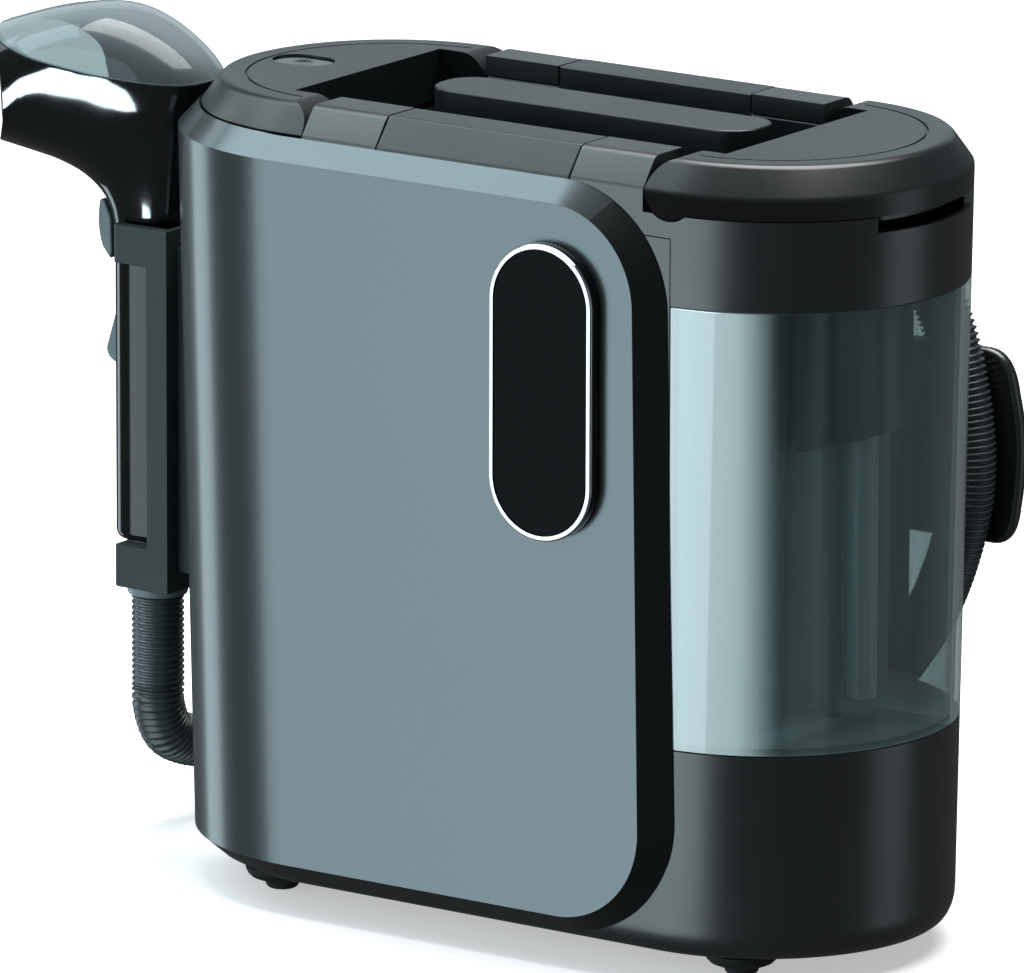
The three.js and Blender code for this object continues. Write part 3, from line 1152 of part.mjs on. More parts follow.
function hoseHook(side) {
  const z0 = HOOK_CENTRE_Z - HOOK_HEIGHT / 2;
  const z1 = HOOK_CENTRE_Z + HOOK_HEIGHT / 2;
  const x0 = HOOK_INNER_X;
  const x1 = HOOK_REACH;
  const corner = 12;
  const shape = new THREE.Shape();
  shape.moveTo(side * (x0 + corner), z0);
  shape.lineTo(side * (x1 - 14), z0);
  shape.quadraticCurveTo(side * (x1 - 4), z0, side * (x1 - 2.4), z0 + 16);
  shape.quadraticCurveTo(side * (x1 + 2.2), HOOK_CENTRE_Z + 2, side * (x1 - 3.4), z1 - 18);
  shape.quadraticCurveTo(side * (x1 - 6), z1, side * (x1 - 18), z1);
  shape.lineTo(side * (x0 + corner), z1);
  shape.quadraticCurveTo(side * x0, z1, side * x0, z1 - corner);
  shape.lineTo(side * x0, z0 + corner);
  shape.quadraticCurveTo(side * x0, z0, side * (x0 + corner), z0);
  return slabXZ(shape, HOOK_Y, HOOK_Y + HOOK_THICKNESS, 5);
}

add('hose_cradle', hoseCradle(), 'housing');
add('hose_hook_right', hoseHook(1), 'housing');
add('hose_hook_left', hoseHook(-1), 'housing');
add('hose', tube(hosePoints(), HOSE_DIAMETER / 2, HOSE_SIDES, HOSE_STEPS), 'hose');
add('hose_riser',
  bar('z', HOSE_DIAMETER / 2, HOSE_RISER_BOTTOM_Z, CUFF_BOTTOM_Z - GAP, [TOOL_X, 0], HOSE_SIDES), 'hose');
add('inlet_elbow', inletElbow(), 'housing');

// ---------------------------------------------------------------- shared frame
// The origin is under the middle of the whole assembly.
const bounds = new THREE.Box3().setFromObject(machine);
const centre = bounds.getCenter(new THREE.Vector3());
machine.position.set(-centre.x, -centre.y, -bounds.min.z);
machine.updateMatrixWorld(true);

export default machine;
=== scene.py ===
"""Looks of a portable spot cleaner: every visible piece made again finely, dressed and lit.

Each sub-assembly is a class that holds its sizes in millimetres, drawn about the middle of the
body, and builds its own pieces. Forms are cut and joined as closed solids, get their edges
rounded, and then go to their place in metres.
"""
import logging
import math
from dataclasses import dataclass, field
from enum import Enum
from typing import Callable, Optional, Sequence

import bmesh
import bpy
from mathutils import Matrix, Vector


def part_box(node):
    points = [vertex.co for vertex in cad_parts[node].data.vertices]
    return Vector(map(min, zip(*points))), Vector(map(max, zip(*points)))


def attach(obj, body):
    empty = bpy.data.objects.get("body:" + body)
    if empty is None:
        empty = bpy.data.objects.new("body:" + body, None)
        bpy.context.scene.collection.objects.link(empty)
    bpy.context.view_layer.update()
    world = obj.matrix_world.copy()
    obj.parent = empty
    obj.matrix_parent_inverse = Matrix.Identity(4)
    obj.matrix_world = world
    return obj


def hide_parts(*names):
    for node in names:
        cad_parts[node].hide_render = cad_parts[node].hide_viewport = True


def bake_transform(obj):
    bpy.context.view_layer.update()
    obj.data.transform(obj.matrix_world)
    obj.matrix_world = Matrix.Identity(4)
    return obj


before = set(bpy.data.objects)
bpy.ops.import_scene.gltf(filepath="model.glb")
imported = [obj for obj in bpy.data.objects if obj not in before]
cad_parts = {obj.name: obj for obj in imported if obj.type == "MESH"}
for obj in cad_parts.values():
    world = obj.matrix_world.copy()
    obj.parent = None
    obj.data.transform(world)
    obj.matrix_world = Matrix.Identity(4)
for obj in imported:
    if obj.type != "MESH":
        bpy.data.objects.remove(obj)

log = logging.getLogger("spot_cleaner")
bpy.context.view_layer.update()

Point2 = tuple[float, float]
Point3 = tuple[float, float, float]
Ring = list[Point3]

GAP = 0.4  # clearance between neighbouring pieces
WALL = 3.0  # moulded housings
FAR = 400.0  # reach of the blocks that cut a form
ARC = 44  # facets in each round end of the body


@dataclass(frozen=True)
class Body:
    """Overall sizes of the stadium-shaped body."""

    top: float = 330.0
    bottom: float = 10.0
    deck: float = 94.0
    radius: float = 77.4
    half_span: float = 93.4
    right_lean: float = 0.0189
    left_lean: float = 0.0257
    rim_chamfer: float = 9.4
    rim_chamfer_height: float = 11.8
    rim_bottom: float = 300.0
    rim_mid: float = 46.5
    lid_bottom: float = 309.5
    recess_left: float = -105.0
    recess_right: float = 102.0
    recess_half_depth: float = 50.0
    recess_floor: float = 262.0
    pan_wall: float = 2.5

    @property
    def shell_right(self) -> float:
        """Right edge of the front and back walls."""
        return self.half_span + 0.9

    @property
    def nose_right(self) -> float:
        """Right end of the part that stands behind the clear tank."""
        return self.recess_right + self.pan_wall + GAP + 1.8

    @property
    def nose_half_depth(self) -> float:
        """Half of the depth of the part that stands behind the clear tank."""
        return self.recess_half_depth + self.pan_wall + GAP + 1.8


BODY = Body()


def place_origin() -> Vector:
    """Finds where the drawing axes stand in the shared frame.

    Returns:
        The drawing's origin, in millimetres in the shared frame.
    """
    ring_low, ring_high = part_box("control_ring")
    base_low, base_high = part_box("base_housing")
    return Vector((
        (ring_low.x + ring_high.x) * 500 - 43.0,
        (base_low.y + base_high.y) * 500,
        base_low.z * 1000 - BODY.bottom,
    ))


ORIGIN = place_origin()


def at(point: Sequence[float]) -> Vector:
    """Takes a point on the drawing axes, in millimetres, to the shared frame, in metres."""
    return (Vector(point) + ORIGIN) * 0.001


# ------------------------------------------------------------------------------ node trees
def add_node(tree: bpy.types.NodeTree, kind: str, settings: Optional[dict] = None,
             links: Optional[dict] = None, **attributes: object) -> bpy.types.Node:
    """Adds one node, with its socket values and the links into it.

    Args:
        tree: The shader or geometry tree.
        kind: The node's type name.
        settings: Socket name or number, and the value to give it.
        links: Socket name or number, and the output socket that feeds it.
        **attributes: Properties of the node itself.

    Returns:
        The new node.
    """
    node = tree.nodes.new(kind)
    for name, value in attributes.items():
        setattr(node, name, value)
    for key, value in (settings or {}).items():
        node.inputs[key].default_value = value
    for key, socket in (links or {}).items():
        tree.links.new(socket, node.inputs[key])
    return node


def srgb(code: str) -> tuple[float, float, float, float]:
    """Turns an sRGB hex colour such as "#7d9094" to linear light.

    Args:
        code: The colour, with its leading hash.

    Returns:
        Red, green, blue and an alpha of one.
    """
    values = [int(code[i:i + 2], 16) / 255 for i in (1, 3, 5)]
    linear = [v / 12.92 if v <= 0.04045 else ((v + 0.055) / 1.055) ** 2.4 for v in values]
    return linear[0], linear[1], linear[2], 1.0


class Grain(Enum):
    """How a surface's fine texture runs."""

    FINE = "even"  # spark-eroded or cast
    BRUSHED = "drawn"  # drawn out along one axis
    POLISHED = "smooth"  # no texture but a slow waviness


@dataclass(frozen=True)
class Finish:
    """An opaque finish: its colour, gloss and fine texture."""

    name: str
    colour: str
    roughness: float
    grain_mm: float = 0.9
    bump: float = 0.05
    uneven: float = 0.05
    metallic: float = 0.0
    ior: float = 1.5
    mottle: float = 0.1  # how far the colour strays from its middle
    coat: float = 0.0
    coat_roughness: float = 0.08
    grain: Grain = Grain.FINE

    def make(self) -> bpy.types.Material:
        """Builds the material, once.

        Returns:
            The material, shared by every piece that asks for it.
        """
        known = bpy.data.materials.get(self.name)
        if known is not None:
            return known
        material = bpy.data.materials.new(self.name)
        material.use_nodes = True
        tree = material.node_tree
        shader = tree.nodes["Principled BSDF"]
        shader.inputs["Metallic"].default_value = self.metallic
        if self.metallic == 0.0:
            shader.inputs["IOR"].default_value = self.ior
        shader.inputs["Coat Weight"].default_value = self.coat
        shader.inputs["Coat Roughness"].default_value = self.coat_roughness
        place = add_node(tree, "ShaderNodeTexCoord").outputs["Object"]
        if self.grain is Grain.BRUSHED:
            place = add_node(tree, "ShaderNodeMapping", {"Scale": (1.0, 1.0, 0.04)},
                             {"Vector": place}).outputs["Vector"]
        fine = add_node(tree, "ShaderNodeTexNoise",
                        {"Scale": 1000.0 / self.grain_mm, "Detail": 2.0}, {"Vector": place})
        slow = add_node(tree, "ShaderNodeTexNoise", {"Scale": 14.0, "Detail": 3.0},
                        {"Vector": place})
        mix = add_node(tree, "ShaderNodeMath", {1: 0.5},
                       {0: fine.outputs["Fac"], 2: slow.outputs["Fac"]},
                       operation="MULTIPLY_ADD")
        gloss = add_node(tree, "ShaderNodeMapRange", {
            "From Min": 0.45, "From Max": 1.05,
            "To Min": max(self.roughness - self.uneven, 0.02),
            "To Max": self.roughness + self.uneven}, {"Value": mix.outputs["Value"]})
        tree.links.new(gloss.outputs["Result"], shader.inputs["Roughness"])
        red, green, blue, _ = srgb(self.colour)
        less, more = 1 - self.mottle, 1 + self.mottle
        low = (red * less, green * less, blue * less, 1.0)
        high = (min(red * more, 1), min(green * more, 1), min(blue * more, 1), 1.0)
        tint = add_node(tree, "ShaderNodeMix", {6: low, 7: high}, {0: mix.outputs["Value"]},
                        data_type="RGBA")
        tree.links.new(tint.outputs[2], shader.inputs["Base Color"])
        height = slow.outputs["Fac"] if self.grain is Grain.POLISHED else fine.outputs["Fac"]
        relief = add_node(tree, "ShaderNodeBump",
                          {"Strength": self.bump, "Distance": self.grain_mm * 0.0003},
                          {"Height": height})
        tree.links.new(relief.outputs["Normal"], shader.inputs["Normal"])
        return material


@dataclass(frozen=True)
class Clear:
    """A thin clear moulding: it lets light straight through, and shines more at a slant."""

    name: str
    tint: str
    haze: str
    facing: float = 0.07  # share of the surface seen face on that shines or looks milky
    slant: float = 0.85
    roughness: float = 0.05
    streak_mm: float = 0.0  # spacing of faint upright flow lines, or none
    painted_reflection: float = 0.0  # share of a painted reflection on the front wall: a whitish band, up to its edge, that stands in for the front softbox
    painted_reflection_edge: float = 0.0  # where the painted reflection ends along X, in metres
    painted_rear_haze: float = 0.0  # share of painted grey haze on the rear wall, behind what hangs inside, that stands in for light on the far wall

    def make(self) -> bpy.types.Material:
        """Builds the material, once.

        Returns:
            The material, shared by every piece that asks for it.
        """
        known = bpy.data.materials.get(self.name)
        if known is not None:
            return known
        material = bpy.data.materials.new(self.name)
        material.use_nodes = True
        tree = material.node_tree
        shader = tree.nodes["Principled BSDF"]
        shader.inputs["Base Color"].default_value = srgb(self.haze)
        shader.inputs["IOR"].default_value = 1.57
        shader.inputs["Specular IOR Level"].default_value = 1.0
        place = add_node(tree, "ShaderNodeTexCoord").outputs["Object"]
        slow = add_node(tree, "ShaderNodeTexNoise", {"Scale": 30.0, "Detail": 2.0},
                        {"Vector": place})
        gloss = add_node(tree, "ShaderNodeMapRange", {
            "To Min": self.roughness * 0.7, "To Max": self.roughness * 1.5},
            {"Value": slow.outputs["Fac"]})
        tree.links.new(gloss.outputs["Result"], shader.inputs["Roughness"])
        through = add_node(tree, "ShaderNodeBsdfTransparent", {"Color": srgb(self.tint)})
        slant = add_node(tree, "ShaderNodeLayerWeight", {"Blend": 0.35})
        share = add_node(tree, "ShaderNodeMapRange", {
            "To Min": self.facing, "To Max": self.slant},
            {"Value": slant.outputs["Facing"]}).outputs["Result"]
        if self.streak_mm > 0:
            flat = add_node(tree, "ShaderNodeMapping", {"Scale": (1.0, 1.0, 0.02)},
                            {"Vector": place})
            streak = add_node(tree, "ShaderNodeTexNoise",
                              {"Scale": 1000.0 / self.streak_mm, "Detail": 1.0},
                              {"Vector": flat.outputs["Vector"]})
            lines = add_node(tree, "ShaderNodeMapRange", {
                "From Min": 0.5, "From Max": 0.8, "To Min": 0.0, "To Max": 0.06},
                {"Value": streak.outputs["Fac"]})
            share = add_node(tree, "ShaderNodeMath", {}, {0: share, 1: lines.outputs["Result"]},
                             operation="ADD").outputs["Value"]
        # Painted light: a whitish band on the front wall, left of the edge, stands in for the front
        # softbox's reflection, and a grey haze on the rear wall stands in for light on the far
        # wall.
        if self.painted_reflection > 0:
            axes = add_node(tree, "ShaderNodeSeparateXYZ", {}, {"Vector": place})
            across = add_node(tree, "ShaderNodeMapRange", {
                "From Min": self.painted_reflection_edge - 0.014, "From Max": self.painted_reflection_edge + 0.003,
                "To Min": self.painted_reflection, "To Max": 0.0}, {"Value": axes.outputs["X"]},
                interpolation_type="SMOOTHSTEP")
            front = add_node(tree, "ShaderNodeMath", {1: 0.01}, {0: axes.outputs["Y"]},
                             operation="LESS_THAN")
            painted_light_share = add_node(tree, "ShaderNodeMix", {2: self.painted_rear_haze}, {
                0: front.outputs["Value"], 3: across.outputs["Result"]})
            share = add_node(tree, "ShaderNodeMath", {}, {0: share, 1: painted_light_share.outputs[0]},
                             operation="ADD", use_clamp=True).outputs["Value"]
        blend = add_node(tree, "ShaderNodeMixShader", {},
                         {0: share, 1: through.outputs["BSDF"], 2: shader.outputs["BSDF"]})
        tree.links.new(blend.outputs["Shader"], tree.nodes["Material Output"].inputs["Surface"])
        return material


# Injection-moulded ABS with a fine eroded texture: satin, near black with a green-grey cast.
SATIN_ABS = Finish("satin_moulded_abs", "#12181a", 0.31, grain_mm=0.8, bump=0.06, ior=1.95)
# The same ABS from a polished tool, for the rim's pieces that hands touch: a softer sheen.
RIM_ABS = Finish("soft_sheen_abs", "#161d1f", 0.34, grain_mm=0.8, bump=0.06, ior=1.7)
# Darker coarse-textured ABS of the dock and cradle, matt so that it falls back.
DOCK_ABS = Finish("matt_textured_abs", "#333d3f", 0.55, grain_mm=1.2, bump=0.15)
# Metallic lacquer sprayed on ABS: aluminium flake under a thin clear coat.
PANEL_LACQUER = Finish("sprayed_metallic_lacquer", "#666e71", 0.26, grain_mm=0.5, bump=0.008,
                       uneven=0.004, metallic=0.85, mottle=0.02, coat=0.35,
                       coat_roughness=0.12)
# Near-black lacquer for the panel's right and bottom bevels: painted shade on the faces that turn
# away from the light.
SHADED_BEVEL_LACQUER = Finish("painted_shade_bevel_lacquer", "#101517", 0.38, grain_mm=0.5, bump=0.03,
                      uneven=0.02, metallic=0.2, coat=0.2)
# Bright chromium plate over copper on ABS.
CHROME_PLATE = Finish("bright_chrome_plate", "#e8ebec", 0.07, grain_mm=6.0, bump=0.02,
                      uneven=0.02, metallic=1.0, grain=Grain.POLISHED)
# Tinted acrylic window with an anti-glare coat over a black mask: a deep, even black that
# hardly mirrors the room, so its index is lower than bare acrylic's.
BLACK_ACRYLIC = Finish("black_backed_acrylic", "#08090a", 0.06, grain_mm=8.0, bump=0.01,
                       uneven=0.015, ior=1.14, grain=Grain.POLISHED)
# Piano-black polished ABS of the hand tool.
PIANO_ABS = Finish("piano_black_abs", "#0d0f10", 0.10, grain_mm=8.0, bump=0.015, uneven=0.02,
                   coat=0.4, coat_roughness=0.03, grain=Grain.POLISHED)
# Light grey polypropylene of the trigger, lever, cuff and spray tip.
GREY_PP = Finish("moulded_grey_polypropylene", "#77848a", 0.38, grain_mm=0.9, bump=0.06)
# Moulded nitrile rubber of feet, gland and seals: matt and slightly dusty.
RUBBER = Finish("moulded_nitrile_rubber", "#141617", 0.72, grain_mm=1.0, bump=0.2, uneven=0.08)
# Extruded polyethylene hose, drawn over a wire coil: a waxy sheen on each rib.
HOSE_PE = Finish("extruded_black_polyethylene", "#3c4548", 0.34, grain_mm=1.0, bump=0.06,
                 ior=1.7)
# Stainless steel, turned: pins, screws and the motor's shaft.
TURNED_STEEL = Finish("turned_stainless_steel", "#b9bcbd", 0.28, grain_mm=0.4, bump=0.08,
                      metallic=1.0, grain=Grain.BRUSHED)
# Die-cast aluminium of the motor's frame, blasted.
CAST_ALUMINIUM = Finish("die_cast_aluminium", "#9ea1a3", 0.48, grain_mm=0.9, bump=0.3,
                        metallic=1.0)
# White acetal of the float, the impeller and the valve: slightly waxy.
ACETAL = Finish("machined_white_acetal", "#d5d9d8", 0.35, grain_mm=1.0, bump=0.05)
# Solder mask over a glass-fibre board.
BOARD_MASK = Finish("green_solder_mask", "#1d5638", 0.35, grain_mm=2.0, bump=0.1)
# Clear styrene-acrylonitrile of the waste tank: glassy, with faint flow lines from moulding, a
# painted reflection of the front softbox as a whitish band at the front left, and painted grey haze
# on the rear wall.
TANK_CLEAR = Clear("clear_moulded_san", "#e4eeee", "#cfdada", facing=0.008, slant=0.35,
                   streak_mm=14.0, painted_reflection=0.62, painted_rear_haze=0.45,
                   painted_reflection_edge=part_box("waste_tank")[1].x - 0.036)
# Frosted polypropylene of the clean tank: milky, so the water only just shows.
TANK_FROSTED = Clear("frosted_polypropylene", "#dfe7e8", "#dbe3e4", facing=0.35, slant=0.9,
                     roughness=0.3)
# Clear polycarbonate of the tool's window: hard, glossy, strong reflections.
WINDOW_CLEAR = Clear("polished_clear_polycarbonate", "#bcc8ca", "#a3b0b3", facing=0.16,
                     slant=0.85, roughness=0.03)
# Clear tube of the pipes, with a bright line down each side.
PIPE_CLEAR = Clear("extruded_clear_tube", "#dfe8e8", "#e8eeee", facing=0.40, slant=1.0,
                   roughness=0.04)


# ------------------------------------------------------------------------------ forms
class Op(Enum):
    """How two forms are put together."""

    CUT = "DIFFERENCE"
    JOIN = "UNION"
    KEEP = "INTERSECT"


class Form:
    """A closed shape on the drawing axes, in millimetres."""

    def __init__(self, mesh: bpy.types.Mesh) -> None:
        """Holds a mesh."""
        self.mesh = mesh

    @classmethod
    def from_faces(cls, points: Sequence[Sequence[float]],
                   faces: Sequence[Sequence[int]]) -> "Form":
        """Makes a form from points and faces, and turns its faces outward.

        Args:
            points: The corners.
            faces: Rows of corner numbers.

        Returns:
            The closed form.
        """
        mesh = bpy.data.meshes.new("form")
        mesh.from_pydata([tuple(p) for p in points], [], [tuple(f) for f in faces])
        work = bmesh.new()
        work.from_mesh(mesh)
        bmesh.ops.remove_doubles(work, verts=work.verts, dist=1e-4)
        bmesh.ops.recalc_face_normals(work, faces=work.faces)
        if work.calc_volume(signed=True) < 0:
            bmesh.ops.reverse_faces(work, faces=work.faces)
        work.to_mesh(mesh)
        work.free()
        return cls(mesh)

    @classmethod
    def stack(cls, rings: Sequence[Ring]) -> "Form":
        """Joins rings with the same number of points, closed at both ends.

        Args:
            rings: The rings, in order.

        Returns:
            The closed form.
        """
        count = len(rings[0])
        points = [p for ring in rings for p in ring]
        faces: list[list[int]] = []
        for r in range(len(rings) - 1):
            low, high = r * count, (r + 1) * count
            faces += [[low + i, low + (i + 1) % count, high + (i + 1) % count, high + i]
                      for i in range(count)]
        last = (len(rings) - 1) * count
        faces.append(list(range(count))[::-1])
        faces.append([last + i for i in range(count)])
        return cls.from_faces(points, faces)

    @classmethod
    def block(cls, x: Point2, y: Point2, z: Point2) -> "Form":
        """A box between two limits on each axis, used to cut or to add a wall."""
        low = [(x[0], y[0], z[0]), (x[1], y[0], z[0]), (x[1], y[1], z[0]), (x[0], y[1], z[0])]
        return cls.stack([low, [(px, py, z[1]) for px, py, _ in low]])

    @classmethod
    def bar(cls, axis: str, radius: float, ends: Point2, centre: Point2, sides: int = 48) -> "Form":
        """A round bar along an axis.

        Args:
            axis: One of x, y and z.
            radius: Its radius.
            ends: Its two ends on that axis.
            centre: Its place on the two other axes, in order.
            sides: Facets round it.

        Returns:
            The bar.
        """
        circle = [(math.cos(2 * math.pi * i / sides), math.sin(2 * math.pi * i / sides))
                  for i in range(sides)]
        order: dict[str, Callable[[float, float, float], Point3]] = {
            "x": lambda a, b, t: (t, a, b), "y": lambda a, b, t: (a, t, b),
            "z": lambda a, b, t: (a, b, t)}
        rings = [[order[axis](centre[0] + radius * c, centre[1] + radius * s, end)
                  for c, s in circle] for end in ends]
        return cls.stack(rings)

    @classmethod
    def slab_xz(cls, outline: Sequence[Point2], y: Point2) -> "Form":
        """An outline drawn in X and Z, given thickness along Y."""
        return cls.stack([[(px, end, pz) for px, pz in outline] for end in y])

    @classmethod
    def slab_xy(cls, outline: Sequence[Point2], z: Point2) -> "Form":
        """An outline drawn in X and Y, given height."""
        return cls.stack([[(px, py, end) for px, py in outline] for end in z])

    @classmethod
    def turned(cls, profile: Sequence[Point2], centre: Point2, sides: int = 48) -> "Form":
        """A profile of radius and height turned about an upright axis.

        Args:
            profile: Radius and height, from one end on the axis to the other, or a closed ring.
            centre: Where the axis stands.
            sides: Facets round it.

        Returns:
            The closed form.
        """
        points: list[Point3] = []
        rows: list[list[int]] = []
        for radius, height in profile:
            if radius < 1e-6:
                rows.append([len(points)] * sides)
                points.append((centre[0], centre[1], height))
                continue
            rows.append(list(range(len(points), len(points) + sides)))
            points += [(centre[0] + radius * math.cos(2 * math.pi * i / sides),
                        centre[1] + radius * math.sin(2 * math.pi * i / sides), height)
                       for i in range(sides)]
        faces = []
        for low, high in zip(rows, rows[1:]):
            for i in range(sides):
                face = [low[i], low[(i + 1) % sides], high[(i + 1) % sides], high[i]]
                face = list(dict.fromkeys(face))
                if len(face) > 2:
                    faces.append(face)
        return cls.from_faces(points, faces)

    @classmethod
    def tube(cls, points: Sequence[Point3], radius: float, sides: int = 16,
             steps: int = 60) -> "Form":
        """A round bar along a smooth curve through points.

        Args:
            points: Points along the middle, in millimetres.
            radius: Its radius.
            sides: Facets round it.
            steps: Rings along it.

        Returns:
            The bar.
        """
        path = smooth_line(points, steps)
        rings = []
        side = Vector((0.0, 1.0, 0.0))
        for i, point in enumerate(path):
            ahead = path[min(i + 1, len(path) - 1)] - path[max(i - 1, 0)]
            ahead.normalize()
            side = (side - ahead * side.dot(ahead)).normalized()
            up = ahead.cross(side)
            rings.append([tuple(point + (side * math.cos(a) + up * math.sin(a)) * radius)
                          for a in (2 * math.pi * k / sides for k in range(sides))])
        return cls.stack(rings)

    @classmethod
    def of_node(cls, node: str) -> "Form":
        """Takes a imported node's own solid back to the drawing axes, with its points merged.

        Args:
            node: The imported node's name.

        Returns:
            The solid as a form.
        """
        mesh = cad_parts[node].data.copy()
        mesh.transform(Matrix.Translation(-ORIGIN) @ Matrix.Scale(1000.0, 4))
        work = bmesh.new()
        work.from_mesh(mesh)
        bmesh.ops.remove_doubles(work, verts=work.verts, dist=1e-3)
        work.to_mesh(mesh)
        work.free()
        mesh.materials.clear()
        return cls(mesh)

    def _put(self, other: "Form", op: Op) -> "Form":
        """Puts another form together with this one, exactly where the quick way fails.

        Args:
            other: The form to put with it.
            op: How they are put together.

        Returns:
            The new form.
        """
        before = len(self.mesh.polygons)
        for solver in ("MANIFOLD", "EXACT"):
            target = bpy.data.objects.new("target", self.mesh)
            tool = bpy.data.objects.new("tool", other.mesh)
            for piece in (target, tool):
                bpy.context.scene.collection.objects.link(piece)
            modifier = target.modifiers.new("put", "BOOLEAN")
            modifier.operation, modifier.solver, modifier.object = op.value, solver, tool
            graph = bpy.context.evaluated_depsgraph_get()
            made = bpy.data.meshes.new_from_object(target.evaluated_get(graph))
            for piece in (target, tool):
                bpy.data.objects.remove(piece)
            if len(made.polygons) > 0 and len(made.polygons) != before:
                return Form(made)
        return Form(made if len(made.polygons) > 0 else self.mesh)

    def cut(self, *others: "Form") -> "Form":
        """Takes the other forms away from this one.

        Args:
            *others: The forms to take away.

        Returns:
            What is left.
        """
        form = self
        for other in others:
            form = form._put(other, Op.CUT)
        return form

    def join(self, *others: "Form") -> "Form":
        """Adds the other forms to this one.

        Args:
            *others: The forms to add.

        Returns:
            The joined form.
        """
        form = self
        for other in others:
            form = form._put(other, Op.JOIN)
        return form

    def keep(self, *others: "Form") -> "Form":
        """Keeps only what lies inside all the other forms.

        Args:
            *others: The forms to stay inside.

        Returns:
            What lies in all of them.
        """
        form = self
        for other in others:
            form = form._put(other, Op.KEEP)
        return form

    def largest(self) -> "Form":
        """Keeps the largest of the separate shapes that a cut leaves.

        Returns:
            This form, with only that shape left.
        """
        work = bmesh.new()
        work.from_mesh(self.mesh)
        bmesh.ops.remove_doubles(work, verts=work.verts, dist=1e-4)
        left, islands = set(work.verts), []
        while left:
            island, queue = set(), [left.pop()]
            while queue:
                vert = queue.pop()
                island.add(vert)
                for edge in vert.link_edges:
                    other = edge.other_vert(vert)
                    if other in left:
                        left.discard(other)
                        queue.append(other)
            islands.append(island)
        islands.sort(key=len)
        extra = [v for island in islands[:-1] for v in island]
        bmesh.ops.delete(work, geom=extra, context="VERTS")
        work.to_mesh(self.mesh)
        work.free()
        return self


@dataclass
class Edges:
    """How a piece's edges are finished."""

    width: float = 0.7
    segments: int = 2
    angle: float = 28.0
    smooth: float = 40.0
    flat: float = 0.4


def smooth_line(points: Sequence[Point3], steps: int) -> list[Vector]:
    """Runs a centripetal curve through points.

    Args:
        points: What it goes through.
        steps: How many equal lengths it is cut into.

    Returns:
        The points along it, evenly spaced.
    """
    given = [Vector(p) for p in points]
    ends = [given[0] * 2 - given[1], *given, given[-1] * 2 - given[-2]]
    dense: list[Vector] = []
    for i in range(1, len(ends) - 2):
        p0, p1, p2, p3 = ends[i - 1:i + 3]
        t0 = 0.0
        t1 = t0 + math.sqrt(max((p1 - p0).length, 1e-6))
        t2 = t1 + math.sqrt(max((p2 - p1).length, 1e-6))
        t3 = t2 + math.sqrt(max((p3 - p2).length, 1e-6))
        for k in range(24):
            t = t1 + (t2 - t1) * k / 24
            a1 = p0 * ((t1 - t) / (t1 - t0)) + p1 * ((t - t0) / (t1 - t0))
            a2 = p1 * ((t2 - t) / (t2 - t1)) + p2 * ((t - t1) / (t2 - t1))
            a3 = p2 * ((t3 - t) / (t3 - t2)) + p3 * ((t - t2) / (t3 - t2))
            b1 = a1 * ((t2 - t) / (t2 - t0)) + a2 * ((t - t0) / (t2 - t0))
            b2 = a2 * ((t3 - t) / (t3 - t1)) + a3 * ((t - t1) / (t3 - t1))
            dense.append(b1 * ((t2 - t) / (t2 - t1)) + b2 * ((t - t1) / (t2 - t1)))
    dense.append(given[-1])
    runs = [0.0]
    for a, b in zip(dense, dense[1:]):
        runs.append(runs[-1] + (b - a).length)
    out, k = [], 0
    for i in range(steps + 1):
        want = runs[-1] * i / steps
        while k + 2 < len(runs) and runs[k + 1] < want:
            k += 1
        share = (want - runs[k]) / max(runs[k + 1] - runs[k], 1e-9)
        out.append(dense[k].lerp(dense[k + 1], min(max(share, 0.0), 1.0)))
    return out


def rounded(x: Point2, y: Point2, radius: float, steps: int = 10) -> list[Point2]:
    """The outline of a rectangle with round corners.

    Args:
        x: Its limits along the first axis.
        y: Its limits along the second axis.
        radius: The corners' radius.
        steps: Facets in each corner.

    Returns:
        The outline's points, anticlockwise.
    """
    corners = [(x[1] - radius, y[0] + radius, -90), (x[1] - radius, y[1] - radius, 0),
               (x[0] + radius, y[1] - radius, 90), (x[0] + radius, y[0] + radius, 180)]
    return [(cx + radius * math.cos(math.radians(start + 90 * i / steps)),
             cy + radius * math.sin(math.radians(start + 90 * i / steps)))
            for cx, cy, start in corners for i in range(steps + 1)]


def body_ring(z: float, inset: float, arc: int = ARC) -> Ring:
    """The body's plan outline at one height.

    Args:
        z: The height.
        inset: How far the outline is drawn in.
        arc: Facets in each round end.

    Returns:
        The ring of points, anticlockwise from the front of the right end.
    """
    radius = BODY.radius - inset
    right = BODY.half_span - BODY.right_lean * (BODY.top - z)
    left = -BODY.half_span + BODY.left_lean * (BODY.top - z)
    ring = []
    for centre, start in ((right, -90), (left, 90)):
        for i in range(arc + 1):
            a = math.radians(start + 180 * i / arc)
            ring.append((centre + radius * math.cos(a), radius * math.sin(a), z))
    return ring


def body_form(inset: float, z0: float, z1: float) -> Form:
    """The body's outer form between two heights, drawn in by an inset."""
    return Form.stack([body_ring(z0, inset), body_ring(z1, inset)])


def rim_form(z0: float) -> Form:
    """The body's form up to its top, with the rim's sloping edge and its soft corners.

    Args:
        z0: Lower height.

    Returns:
        The form.
    """
    top, edge, high = BODY.top, BODY.rim_chamfer, BODY.rim_chamfer_height
    return Form.stack([
        body_ring(z0, 0), body_ring(top - high - 1.5, 0), body_ring(top - high - 0.4, 0.15),
        body_ring(top - high + 0.9, 0.95), body_ring(top - 1.6, edge - 1.6),
        body_ring(top - 0.4, edge - 0.1), body_ring(top, edge + 1.5)])


def right_of(x: float, z: Point2 = (0.0, FAR)) -> Form:
    """Everything to the right of x."""
    return Form.block((x, FAR), (-FAR, FAR), z)


def left_of(x: float, z: Point2 = (0.0, FAR)) -> Form:
    """Everything to the left of x."""
    return Form.block((-FAR, x), (-FAR, FAR), z)


def both(y: Point2, make: Callable[[Point2], Form]) -> Form:
    """The same form in front of and behind the middle plane."""
    return make(y).join(make((-y[1], -y[0])))


